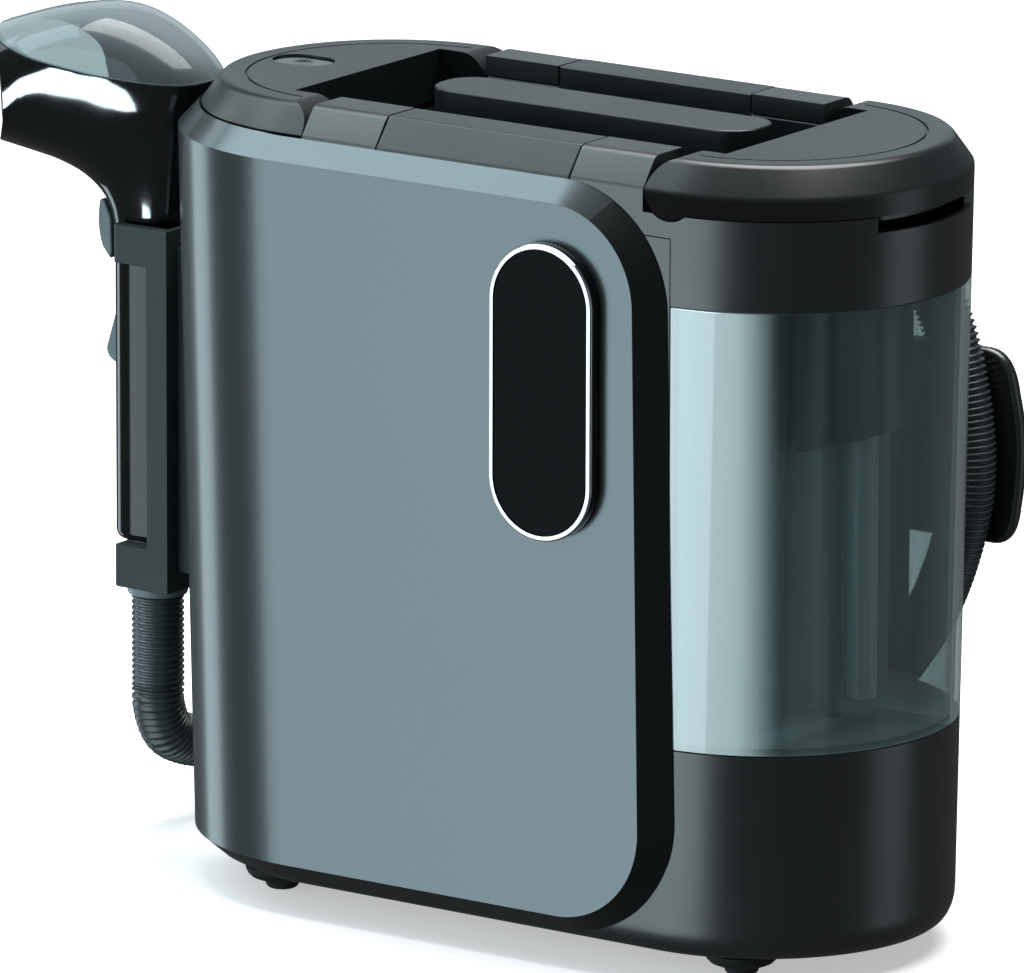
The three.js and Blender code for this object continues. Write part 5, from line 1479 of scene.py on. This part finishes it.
# ------------------------------------------------------------------------------ panel and pod
@dataclass
class Panel(Part):
    """The wrapped front panel and the control pod that stands in it."""

    stand: float = 8.9
    bottom: float = 13.7
    bottom_bevel: float = 7.5
    top_bevel: float = 8.9
    right_bevel: float = 11.3
    lean: float = 0.0176
    corner: float = 50.0
    face_corner: float = 39.0
    end_y: float = -25.0
    pod: Point2 = (43.0, 234.0)
    pod_width: float = 49.0
    pod_height: float = 119.6
    ring_width: float = 2.2

    @property
    def top(self) -> float:
        """Height of the panel's top edge."""
        return BODY.top - BODY.rim_chamfer_height

    def outline(self, y: float, shrink: Point3, radius: float) -> Ring:
        """The panel's outline seen from the front, at one depth.

        Args:
            y: The depth.
            shrink: How far it draws in at the right, the top and the bottom.
            radius: Its right corners' radius.

        Returns:
            The ring.
        """
        z0, z1 = self.bottom + shrink[2], self.top - shrink[1]
        middle = (self.bottom + self.top) / 2
        ring: Ring = []
        steps = 22
        for centre, start in ((z0 + radius, -90), (z1 - radius, 0)):
            low = z0 + radius if start < 0 else z1 - radius
            edge = BODY.half_span + 2.4 - shrink[0] - self.lean * (low - middle)
            for i in range(steps + 1):
                a = math.radians(start + 90 * i / steps)
                ring.append((edge - radius + radius * math.cos(a), y,
                             centre + radius * math.sin(a)))
        ring += [(-FAR, y, z1), (-FAR, y, z0)]
        return ring

    def form(self) -> Form:
        """The panel: a slab bent round the left end, bevelled at its right, top and bottom.

        Returns:
            The panel.
        """
        s = self.stand
        slab = Form.stack([
            body_ring(self.bottom, -GAP), body_ring(self.bottom + self.bottom_bevel, -s),
            body_ring(self.top - self.top_bevel, -s), body_ring(self.top, -GAP)])
        face = ((self.right_bevel, self.top_bevel, self.bottom_bevel), self.face_corner)
        back = ((0.0, 0.0, 0.0), self.corner)
        mask = Form.stack([
            self.outline(-BODY.radius - s - 1, *face), self.outline(-BODY.radius - s, *face),
            self.outline(-BODY.radius, *back), self.outline(self.end_y, *back)])
        pocket = body_form(3 - s, self.bottom + 16, self.top - 18).keep(
            Form.block((-FAR, BODY.half_span + 2.4 - 26), (-FAR, self.end_y - WALL), (0, FAR)))
        opening = Form.slab_xz(self.pod_outline(2.6), (-BODY.radius - s - 1, -BODY.radius + 1))
        inner = body_form(-GAP, self.bottom - 1, self.top + 1)
        return slab.cut(inner).keep(mask).cut(pocket, opening)

    def pod_outline(self, inset: float) -> list[Point2]:
        """The pod's long round outline, drawn in by an inset.

        Args:
            inset: How far it draws in.

        Returns:
            The outline's points.
        """
        w, h = self.pod_width / 2 - inset, self.pod_height / 2 - inset
        x, z = self.pod
        return rounded((x - w, x + w), (z - h, z + h), w - 0.01, 28)

    def pod_ring(self, inset: float, y: float) -> Ring:
        """The pod's outline as a ring at one depth."""
        return [(x, y, z) for x, z in self.pod_outline(inset)]

    def build_pod(self) -> None:
        """The pod's housing, its plated ring and its black window."""
        back = -BODY.radius - self.stand - GAP
        front = -BODY.radius - self.stand - 6.0
        w = self.ring_width
        flange = Form.stack([self.pod_ring(0, front + 1.8), self.pod_ring(0, back - 1.0),
                             self.pod_ring(0.5, back)])
        stem = Form.slab_xz(self.pod_outline(3.0), (back - 1, -BODY.radius - GAP - 0.1))
        room = Form.slab_xz(self.pod_outline(5.0), (back - 1.5, -BODY.radius + 1))
        self.piece(flange.join(stem).cut(room), "pod_housing", PIANO_ABS, ["control_housing"],
                   Edges(0.3, 2), slot="gloss_black")
        ring = Form.stack([self.pod_ring(0.9, front), self.pod_ring(0.3, front + 0.3),
                           self.pod_ring(0, front + 0.9), self.pod_ring(0, front + 1.6)]).cut(
            Form.slab_xz(self.pod_outline(w), (front - 1, front + 3)))
        self.piece(ring, "pod_trim_ring", CHROME_PLATE, ["control_ring"], Edges(0.25, 2),
                   slot="chrome")
        glass = Form.stack([
            self.pod_ring(w + 0.7, front + 0.25), self.pod_ring(w + 0.2, front + 0.6),
            self.pod_ring(w + 0.2, front + 1.5)])
        self.piece(glass, "pod_window", BLACK_ACRYLIC, ["control_glass"], Edges(0.0, 1),
                   slot="dark_glass")
        self.keep_node("control_board", BOARD_MASK)

    def paint_bevel_shade(self, panel: bpy.types.Object) -> None:
        """Paints shade on the right and bottom bevels: they take the near-black lacquer.

        Args:
            panel: The finished panel.
        """
        panel.data.materials.append(PANEL_LACQUER.make())
        panel.data.materials.append(SHADED_BEVEL_LACQUER.make())
        for face in panel.data.polygons:
            n = face.normal
            # Painted shade: faces that turn right or down take the near-black lacquer.
            shaded = (n.x > 0.35 and n.y < 0.35) or n.z < -0.3
            face.material_index = 1 if shaded else 0

    def build(self) -> None:
        """Builds all of it."""
        panel = self.piece(self.form(), "wrapped_panel", PANEL_LACQUER, ["front_panel"],
                           Edges(0.9, 3, angle=22), slot="panel")
        panel.data.materials.clear()
        self.paint_bevel_shade(panel)
        self.build_pod()


# ------------------------------------------------------------------------------ tanks and lids
@dataclass(frozen=True)
class End:
    """What differs between the two ends of the body."""

    side: int
    hinge: float
    arm: float
    rim: float
    recess: float


RIGHT_END = End(1, 93.5, 81.5, BODY.rim_mid, BODY.recess_right)
LEFT_END = End(-1, -94.5, -82.5, -BODY.rim_mid, BODY.recess_left)


@dataclass
class Tank(Part):
    """What both tanks share: rim arms, hinge ears, lid and seal."""

    end: End = RIGHT_END
    hinge_radius: float = 11.5
    ear_y: float = 63.0
    pin_length: float = 22.0
    mouth: Point2 = (41.0, 19.0)

    @property
    def hinge_z(self) -> float:
        """Height of the lid's hinge."""
        return BODY.top - self.hinge_radius

    def span(self, a: float, b: float, y: Point2, z: Point2) -> Form:
        """A block between two places along X, whichever end it is at."""
        return Form.block((min(a, b), max(a, b)), y, z)

    def outward(self, x: float, z: Point2) -> Form:
        """Everything on the outer side of x."""
        return right_of(x, z) if self.end.side > 0 else left_of(x, z)

    def rim_arms(self, join_x: float) -> Form:
        """The stretches of rim that reach in from the collar.

        Args:
            join_x: Where the arms join the collar.

        Returns:
            Both arms.
        """
        e, lip = self.end, BODY.top - 8.0
        start = e.rim + e.side * GAP
        inner = BODY.recess_half_depth + BODY.pan_wall + GAP
        form = rim_form(BODY.rim_bottom)
        tall = both((inner, FAR), lambda y: self.span(start, e.arm, y, (BODY.rim_bottom, FAR)))
        edge = both((BODY.recess_half_depth, inner + 1),
                    lambda y: self.span(start, e.arm, y, (lip, FAR)))
        low = both((inner, FAR), lambda y: self.span(e.arm - e.side, join_x, y,
                                                     (BODY.rim_bottom, BODY.lid_bottom - GAP)))
        hollow = both((inner + WALL, BODY.radius - WALL), lambda y: self.span(
            start + e.side * WALL, e.arm - e.side * WALL, y, (BODY.rim_bottom - 1, lip - 4)))
        return tall.join(edge, low).keep(form).cut(hollow)

    def hinge_room(self) -> Form:
        """Space in which the rounded end of the lid's wing turns."""
        return Form.bar("y", self.hinge_radius + 0.5, (-FAR, FAR),
                        (self.end.hinge, self.hinge_z), 64)

    def ears(self) -> Form:
        """The ears that hold the hinge pins.

        Returns:
            Both ears.
        """
        x = self.end.hinge
        return both((self.ear_y - 3, self.ear_y + 3), lambda y: Form.bar(
            "y", 6.5, y, (x, self.hinge_z), 36).join(
            Form.block((x - 5, x + 5), y, (BODY.rim_bottom + 1, self.hinge_z))).cut(
            Form.bar("y", 2.3, (y[0] - 1, y[1] + 1), (x, self.hinge_z), 24)))

    def groove(self, radius: float, width: float, half_angle: float) -> Form:
        """A shallow arc cut into the lid's top, about the end's own centre.

        Args:
            radius: Its middle radius.
            width: Its width.
            half_angle: Half of its sweep, in degrees.

        Returns:
            The cutting form.
        """
        centre = self.end.side * BODY.half_span
        turn = 0 if self.end.side > 0 else 180
        outline: list[Point2] = []
        for r, order in ((radius + width / 2, 1), (radius - width / 2, -1)):
            for i in range(41):
                a = math.radians(turn + order * (-half_angle + half_angle * 2 * i / 40))
                outline.append((centre + r * math.cos(a), r * math.sin(a)))
        return Form.slab_xy(outline, (BODY.top - 1.0, BODY.top + 1))

    def lid(self) -> Form:
        """The lid with its two wings and their rounded, hinged ends.

        Returns:
            The lid, without its slots.
        """
        e = self.end
        inner = BODY.recess_half_depth + GAP / 2
        edge = e.arm + e.side * 0.5
        top = rim_form(BODY.lid_bottom).keep(self.outward(e.recess + e.side * 0.3,
                                                          (BODY.lid_bottom - 1, FAR)))
        wings = both((inner, FAR), lambda y: self.span(e.hinge, e.recess + e.side * 2, y,
                                                       (BODY.lid_bottom, FAR))).keep(
            rim_form(BODY.lid_bottom))
        ends = both((inner, FAR), lambda y: Form.bar(
            "y", self.hinge_radius, y, (e.hinge, self.hinge_z), 64)).keep(
            rim_form(self.hinge_z - self.hinge_radius - 1), self.outward(edge, (0.0, FAR)))
        under = body_form(4 + BODY.rim_chamfer - 3, BODY.lid_bottom - 1, BODY.top - 4).keep(
            self.outward(e.recess + e.side * 4, (0.0, FAR)))
        slots = both((self.ear_y - 3.5, self.ear_y + 3.5), lambda y: self.span(
            edge - e.side * 3, e.hinge + e.side * 7.5, y,
            (self.hinge_z - self.hinge_radius - 2, self.hinge_z + 7.2)))
        room = self.pin_length / 2 + 0.5
        pins = both((self.ear_y - room, self.ear_y + room), lambda y: Form.bar(
            "y", 2.3, y, (e.hinge, self.hinge_z), 24))
        return top.join(wings, ends).cut(under, slots, pins)

    def mouth_hole(self, z1: float) -> Form:
        """The filling mouth through the collar's top."""
        return Form.bar("z", self.mouth[1], (z1 - WALL - 1, z1 + 1),
                        (self.end.side * (BODY.half_span + self.mouth[0]), 0.0), 56)

    def seal(self) -> Form:
        """The round rubber seal on the mouth, with a soft lip.

        Returns:
            The seal ring.
        """
        z0, r = BODY.lid_bottom, self.mouth[1] + 1
        profile = [(r, z0), (r + 3.4, z0), (r + 3.4, z0 + 1.6), (r + 2.6, z0 + 2.6),
                   (r + 1.4, z0 + 3.0), (r + 0.4, z0 + 2.6), (r, z0 + 1.6), (r, z0)]
        return Form.turned(profile, (self.end.side * (BODY.half_span + self.mouth[0]), 0.0), 56)

    def pins(self, prefix: str) -> None:
        """The two hinge pins, with chamfered ends.

        Args:
            prefix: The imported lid's name, which the pins' names start with.
        """
        for sign, where in ((-1, "front"), (1, "back")):
            y0 = sign * self.ear_y - self.pin_length / 2
            y1 = y0 + self.pin_length
            pin = Form.bar("y", 2.0, (y0, y1), (self.end.hinge, self.hinge_z), 24)
            self.piece(pin, f"{prefix}_hinge_pin_{where}", TURNED_STEEL, [f"{prefix}_pin_{where}"],
                       Edges(0.4, 2), slot="steel")


@dataclass
class WasteTank(Tank):
    """The clear waste tank, its collar and lid, and what hangs inside it."""

    body: str = "waste_tank"
    wall: float = 2.4
    collar_bottom: float = 273.0
    slot_angle: float = 27.0
    slot_height: float = 6.5
    slot_depth: float = 7.0

    def form(self, inset: float, z0: float, z1: float) -> Form:
        """The tank's plan between two heights: round outside, stepped round the nose.

        Args:
            inset: How far it draws in.
            z0: Lower height.
            z1: Upper height.

        Returns:
            The solid form.
        """
        clear = BODY.nose_half_depth + GAP + inset
        return body_form(inset, z0, z1).keep(right_of(BODY.shell_right + GAP + inset)).cut(
            Form.block((0, BODY.nose_right + GAP + inset), (-clear, clear), (z0 - 1, z1 + 1)))

    def finger_slot(self) -> Form:
        """The finger slot under the lid, tapered out at both ends.

        Returns:
            The slot's space.
        """
        outline: list[Point2] = []
        half = math.radians(self.slot_angle)
        for i in range(33):
            a = -half + 2 * half * i / 32
            outline.append((BODY.half_span + (BODY.radius + 5) * math.cos(a),
                            (BODY.radius + 5) * math.sin(a)))
        for i in range(33):
            a = half - 2 * half * i / 32
            share = min(1.0, (1 - abs(a) / half) * 5)
            r = BODY.radius + 1 - (self.slot_depth + 1) * share
            outline.append((BODY.half_span + r * math.cos(a), r * math.sin(a)))
        return Form.slab_xy(outline, (BODY.lid_bottom - self.slot_height, BODY.lid_bottom + 1))

    def collar(self) -> Form:
        """The black collar between the clear wall and the lid.

        Returns:
            The collar.
        """
        z1 = BODY.lid_bottom - GAP
        ring = self.form(0, self.collar_bottom, z1).cut(
            self.form(WALL, self.collar_bottom - 1, z1 - WALL), self.mouth_hole(z1))
        nose = Form.block((0, BODY.nose_right + GAP), (-BODY.nose_half_depth - GAP,
                                                       BODY.nose_half_depth + GAP),
                          (0, BODY.rim_bottom - GAP / 2))
        arms = self.rim_arms(BODY.shell_right + GAP + 4)
        return ring.join(arms).cut(self.hinge_room()).join(self.ears()).cut(
            self.finger_slot(), nose)

    def build_inside(self) -> None:
        """The separator, its two pipes and the float."""
        x0, top, z = BODY.half_span + 20.1, self.collar_bottom + 8, BODY.top - 125
        self.piece(Form.of_node("separator_block"), "air_water_separator", SATIN_ABS,
                   ["separator_block"], Edges(0.8, 2))
        for x, radius, low, name, node in (
                (x0 + 7, 4.6, BODY.deck + 4, "suction_stack", "suction_pipe"),
                (x0 + 21, 6.2, BODY.deck + 12, "return_stack", "return_pipe")):
            high = z + 10
            profile = [(radius - 1.3, low), (radius - 0.3, low), (radius, low + 0.4),
                       (radius, high), (radius - 1.3, high), (radius - 1.3, low)]
            self.piece(Form.turned(profile, (x, 0.0), 40), name, PIPE_CLEAR, [node],
                       Edges(0.0, 1), slot="clear")
        f = top - 22
        profile = [(0, f - 36), (7, -36 + f), (9.4, f - 35.2), (10.8, f - 33), (11, f - 31),
                   (11, f - 15), (10.4, f - 12.5), (8, f - 10), (4, f - 9), (3, f - 8),
                   (3, f - 0.6), (2.4, f), (0, f)]
        self.piece(Form.turned(profile, (x0 + 16.5, 0.0), 44), "ball_float", ACETAL,
                   ["float_valve"], Edges(0.0, 1), body="float", slot="white")

    def build(self) -> None:
        """Builds all of it."""
        z0, z1 = BODY.deck + GAP, self.collar_bottom - GAP
        wall = self.form(0, z0, z1).cut(self.form(self.wall, z0 + self.wall, z1 + 1))
        self.piece(wall, "clear_tank_wall", TANK_CLEAR, ["waste_tank"], Edges(0.5, 2), slot="clear")
        self.piece(self.collar(), "waste_tank_collar", SATIN_ABS, ["waste_collar"], Edges(0.7, 2))
        lid = self.lid().cut(self.groove(58.5, 1.1, 88.0))
        self.piece(lid, "waste_tank_lid", RIM_ABS, ["waste_lid"], Edges(0.8, 2), body="waste_lid")
        self.piece(self.seal(), "waste_mouth_seal", RUBBER, ["waste_lid_seal"], Edges(0.2, 1),
                   slot="rubber")
        self.pins("waste_lid")
        self.build_inside()


@dataclass
class CleanTank(Tank):
    """The frosted clean tank, its collar, lid, latch and outlet valve."""

    body: str = "clean_tank"
    end: End = LEFT_END
    wall: float = 2.4
    latch_x: float = -137.0
    latch: Point2 = (13.0, 9.0)
    relief: float = 1.8  # how far the lid's side stands back beside the panel
    panel_end_y: float = -25.0

    def tank(self) -> Form:
        """The tank's open-topped wall.

        Returns:
            The tank's wall and floor.
        """
        inset = WALL + GAP
        x = BODY.recess_left - BODY.pan_wall - GAP - WALL - GAP
        z0, z1 = BODY.deck + GAP, BODY.rim_bottom - GAP
        room = body_form(inset + self.wall, z0 + self.wall, z1 + 1).keep(left_of(x - self.wall))
        outlet = Form.bar("z", 8.0, (z0 - 1, z0 + self.wall + 1), (-128.0, 0.0), 32)
        return body_form(inset, z0, z1).keep(left_of(x)).cut(room, outlet)

    def collar(self) -> Form:
        """The collar that closes the tank's top.

        Returns:
            The collar.
        """
        z0, z1 = BODY.rim_bottom, BODY.lid_bottom - GAP
        x = BODY.recess_left - BODY.pan_wall - GAP
        plate = body_form(0, z0, z1).keep(left_of(x)).cut(
            self.mouth_hole(z1), body_form(WALL, z0 - 1, z1 - WALL).keep(left_of(x - WALL)))
        return plate.join(self.rim_arms(x - 4)).cut(self.hinge_room()).join(self.ears())

    def latch_outline(self, grow: float) -> list[Point2]:
        """The latch button's oval outline."""
        a, b = self.latch[0] + grow, self.latch[1] + grow
        return rounded((self.latch_x - a, self.latch_x + a), (-b, b), b - 0.01, 16)

    def button(self) -> Form:
        """The latch button, slightly dished on top.

        Returns:
            The button.
        """
        under, top = BODY.top - 4.4, BODY.top - 0.8
        cap = Form.slab_xy(self.latch_outline(0), (under - 1, top))
        dish = Form.turned([(0, top - 0.7), (4, top - 0.6), (6.4, top + 0.3), (0, top + 0.4)],
                           (self.latch_x, 0.0), 40)
        return cap.join(Form.slab_xy(self.latch_outline(2.0), (under - 2, under))).cut(dish)

    def build(self) -> None:
        """Builds all of it."""
        self.piece(self.tank(), "clean_tank_wall", TANK_FROSTED, ["clean_tank"], Edges(0.5, 2),
                   slot="clear_tank")
        self.piece(self.collar(), "clean_tank_collar", SATIN_ABS, ["clean_collar"], Edges(0.7, 2))
        opening = Form.slab_xy(self.latch_outline(GAP), (BODY.top - 6, BODY.top + 1))
        beside = BODY.top - BODY.rim_chamfer_height + GAP
        corner = Form.block((-FAR, self.end.hinge + self.hinge_radius + GAP),
                            (-FAR, self.panel_end_y + WALL), (0, beside)).cut(
            body_form(self.relief, -1.0, beside + 1))
        lid = self.lid().cut(self.groove(58.5, 1.1, 88.0)).cut(opening, corner)
        self.piece(lid, "clean_tank_lid", RIM_ABS, ["clean_lid"], Edges(0.8, 2), body="clean_lid")
        self.piece(self.button(), "lid_latch_button", PIANO_ABS, ["clean_lid_button"],
                   Edges(0.5, 3), body="lid_button", slot="gloss_black")
        self.piece(self.seal(), "clean_mouth_seal", RUBBER, ["clean_lid_seal"], Edges(0.2, 1),
                   slot="rubber")
        self.pins("clean_lid")
        self.keep_node("valve_plunger", ACETAL)


# ------------------------------------------------------------------------------ dock and tool
@dataclass
class Dock(Part):
    """The channel on the left end that holds the hand tool."""

    def build(self) -> None:
        """Builds it."""
        self.piece(Form.of_node("tool_dock"), "tool_dock_moulding", DOCK_ABS, ["tool_dock"],
                   Edges(0.8, 2))


@dataclass(frozen=True)
class Section:
    """One slice through the tool's head, from a low front point to a high rear point."""

    low: Point2
    high: Point2
    width: float
    bulge: float = 0.0


@dataclass
class HandTool(Part):
    """The hand tool: handle, trigger, lever, head with its clear window, tip and cuff."""

    body: str = "hand_tool"
    axis_x: float = -211.0
    head_z: float = 252.0
    power: float = 2.6
    wall: float = 2.2
    sections: tuple[Section, ...] = (
        Section((-16, 0), (16, 0), 15), Section((-18, 7), (20, 23), 16.5),
        Section((-22.5, 13.5), (25.5, 48), 20), Section((-30, 19.5), (27, 67), 25),
        Section((-40, 23.5), (7, 82), 29.5, 1), Section((-52, 26), (-19, 89.5), 33.5, 5),
        Section((-62, 28), (-46, 86.5), 36.5, 12), Section((-70, 29.5), (-73, 78), 38, 22))

    def place(self, x: float, z: float) -> Point2:
        """A point given from where the tool's axis meets the head's underside."""
        return self.axis_x + x, self.head_z + z

    def ring(self, section: Section, inset: float = 0.0, count: int = 56) -> Ring:
        """A rounded ring of points through the tool.

        Args:
            section: The slice to draw.
            inset: How far it draws in.
            count: Points round it.

        Returns:
            The ring's points.
        """
        lx, lz = self.place(*section.low)
        hx, hz = self.place(*section.high)
        half = math.hypot(hx - lx, hz - lz) / 2
        ux = (hx - lx) / 2 * (half - inset) / half
        uz = (hz - lz) / 2 * (half - inset) / half
        ring: Ring = []
        for i in range(count):
            a = 2 * math.pi * i / count
            c = math.copysign(abs(math.cos(a)) ** (2 / self.power), math.cos(a))
            s = math.copysign(abs(math.sin(a)) ** (2 / self.power), math.sin(a))
            ring.append(((lx + hx) / 2 + ux * c + section.bulge * s * s,
                         (section.width - inset) * s, (lz + hz) / 2 + uz * c))
        return ring

    def fine_sections(self, inset: float) -> list[Ring]:
        """Rings through the head, with more between the given ones so that it reads smooth.

        Args:
            inset: How far it draws in.

        Returns:
            The rings, from the handle to the mouth.
        """
        given = [self.ring(s, inset) for s in self.sections]
        rings: list[Ring] = [[] for _ in range(7 * 5 + 1)]
        for k in range(len(given[0])):
            track = [Vector(g[k]) for g in given]
            ends = [track[0] * 2 - track[1], *track, track[-1] * 2 - track[-2]]
            for i in range(7 * 5 + 1):
                seg, t = min(i // 5, 6), (i - min(i // 5, 6) * 5) / 5
                p0, p1, p2, p3 = ends[seg:seg + 4]
                point = 0.5 * ((2 * p1) + (p2 - p0) * t + (2 * p0 - 5 * p1 + 4 * p2 - p3) * t * t
                               + (3 * p1 - p0 - 3 * p2 + p3) * t ** 3)
                rings[i].append(tuple(point))
        return rings

    def head_form(self, inset: float) -> Form:
        """The head's outer form, or the form that hollows it.

        Args:
            inset: How far it draws in.

        Returns:
            The solid form.
        """
        rings = self.fine_sections(inset)
        if inset > 0:
            last, first = self.sections[-1], self.sections[0]
            rings.append([(x - 16, y, z) for x, y, z in self.ring(last, inset)])
            rings.insert(0, [(x, y, z - 3) for x, y, z in self.ring(first, inset)])
        return Form.stack(rings)

    def above_seam(self, lift: float) -> Form:
        """Everything above the window's curved seam.

        Args:
            lift: How far above the seam it starts.

        Returns:
            The space above it.
        """
        line = smooth_line([(-89, 0, 79), (-50, 0, 72.6), (-11, 0, 66.0), (29, 0, 63.5),
                            (61, 0, 66)], 40)
        outline = [self.place(p.x, p.z + lift) for p in line]
        outline += [self.place(61, 110), self.place(-89, 110)]
        return Form.slab_xz(outline, (-60, 60))

    def handle(self) -> Form:
        """The handle with the trigger's pocket and the cuff's socket.

        Returns:
            The handle.
        """
        top, low = self.head_z - GAP, 122.4
        first = self.sections[0]

        def slice_at(z: float, inset: float) -> Ring:
            """The grip's outline at one height, drawn in by an inset."""
            return [(x, y, z) for x, y, _ in self.ring(first, inset)]
        form = Form.stack([slice_at(low, 1.6), slice_at(low + 0.6, 0.9), slice_at(low + 1.8, 0.25),
                           slice_at(low + 3, 0), slice_at(top, 0)])
        px, pz = self.place(-8.5, -35)
        pocket = Form.block((px - 14, px + 8), (-6.0, 6.0), (pz - 27, pz + 7))
        pin = Form.bar("y", 1.8, (-10, 10), (px, pz), 20)
        cuff = Form.bar("z", 13.0, (low - 1, 132.4), (self.axis_x, 0.0), 48)
        bore = Form.bar("z", 5.5, (132, self.head_z), (self.axis_x + 7.5, 0.0), 28)
        return form.cut(pocket, pin, cuff, bore)

    def cuff(self) -> Form:
        """The hose's cuff with three finger ribs.

        Returns:
            The cuff.
        """
        z0, z1, r = 98.0, 132.0, 12.6
        profile: list[Point2] = [(0, z0), (r - 1.6, z0), (r - 0.4, z0 + 0.6), (r, z0 + 2)]
        for i in range(3):
            z = z0 + 4.5 + i * 3.2
            profile += [(r, z - 0.8), (r - 0.7, z - 0.3), (r - 0.7, z + 0.3), (r, z + 0.8)]
        profile += [(r, z1), (0, z1)]
        return Form.turned(profile, (self.axis_x, 0.0), 48)

    def tip(self) -> Form:
        """The spray tip with its fan-shaped slot.

        Returns:
            The tip.
        """
        x, z = self.place(-42, 31)
        profile = [(0, z), (3, z), (3, z + 15.4), (3.4, z + 16.4), (5, z + 18), (5, z + 24),
                   (4.2, z + 26), (2.4, z + 28), (0, z + 28)]
        slot = Form.block((x - 6, x + 6), (-0.5, 0.5), (z + 26, z + 30))
        return Form.turned(profile, (x, 0.0), 36).cut(slot)

    def build(self) -> None:
        """Builds all of it."""
        self.piece(self.handle(), "tool_grip", PIANO_ABS, ["tool_handle"], Edges(0.5, 2),
                   slot="gloss_black")
        self.piece(Form.of_node("tool_trigger"), "trigger_key", GREY_PP, ["tool_trigger"],
                   Edges(1.0, 3), body="trigger", slot="grey")
        self.piece(Form.of_node("head_release_lever"), "release_key", GREY_PP,
                   ["head_release_lever"], Edges(0.9, 3), body="release_lever", slot="grey")
        self.keep_node("trigger_pin", TURNED_STEEL)
        shell = self.head_form(0).cut(self.head_form(self.wall))
        self.piece(shell.cut(self.above_seam(0)).largest(), "nozzle_body", PIANO_ABS,
                   ["nozzle_head"], Edges(0.35, 2), body="nozzle", slot="gloss_black")
        self.piece(shell.keep(self.above_seam(0.3)).largest(), "nozzle_clear_cover",
                   WINDOW_CLEAR, ["nozzle_window"], Edges(0.35, 2), body="nozzle", slot="clear")
        self.piece(self.tip(), "fan_spray_tip", GREY_PP, ["spray_tip"], Edges(0.3, 2),
                   body="nozzle", slot="grey")
        self.piece(self.cuff(), "hose_end_cuff", GREY_PP, ["hose_cuff"], Edges(0.0, 1),
                   slot="grey")


# ------------------------------------------------------------------------------ inside works
@dataclass
class Works(Part):
    """Fan, motor, pump and lines inside the body, kept as packed with their own finishes."""

    def build(self) -> None:
        """Dresses each of them."""
        for node, finish in (
                ("fan_housing", DOCK_ABS), ("impeller", ACETAL), ("motor_body", CAST_ALUMINIUM),
                ("motor_shaft", TURNED_STEEL), ("suction_duct", HOSE_PE),
                ("water_pump", SATIN_ABS), ("water_line", PIPE_CLEAR)):
            self.keep_node(node, finish)


def main() -> None:
    """Builds the scene: camera, hose, then each sub-assembly and the light."""
    logging.basicConfig(level=logging.INFO, format="%(message)s")
    studio = Studio()
    studio.build_camera()
    parts: list[Part] = [Hose(), Base(), Shell(), Panel(), WasteTank(), CleanTank(), Dock(),
                         HandTool(), Works()]
    for part in parts:
        log.info("-- %s", type(part).__name__)
        part.build()
    studio.build_floor()
    studio.build_light()


if __name__ == "__main__":
    main()
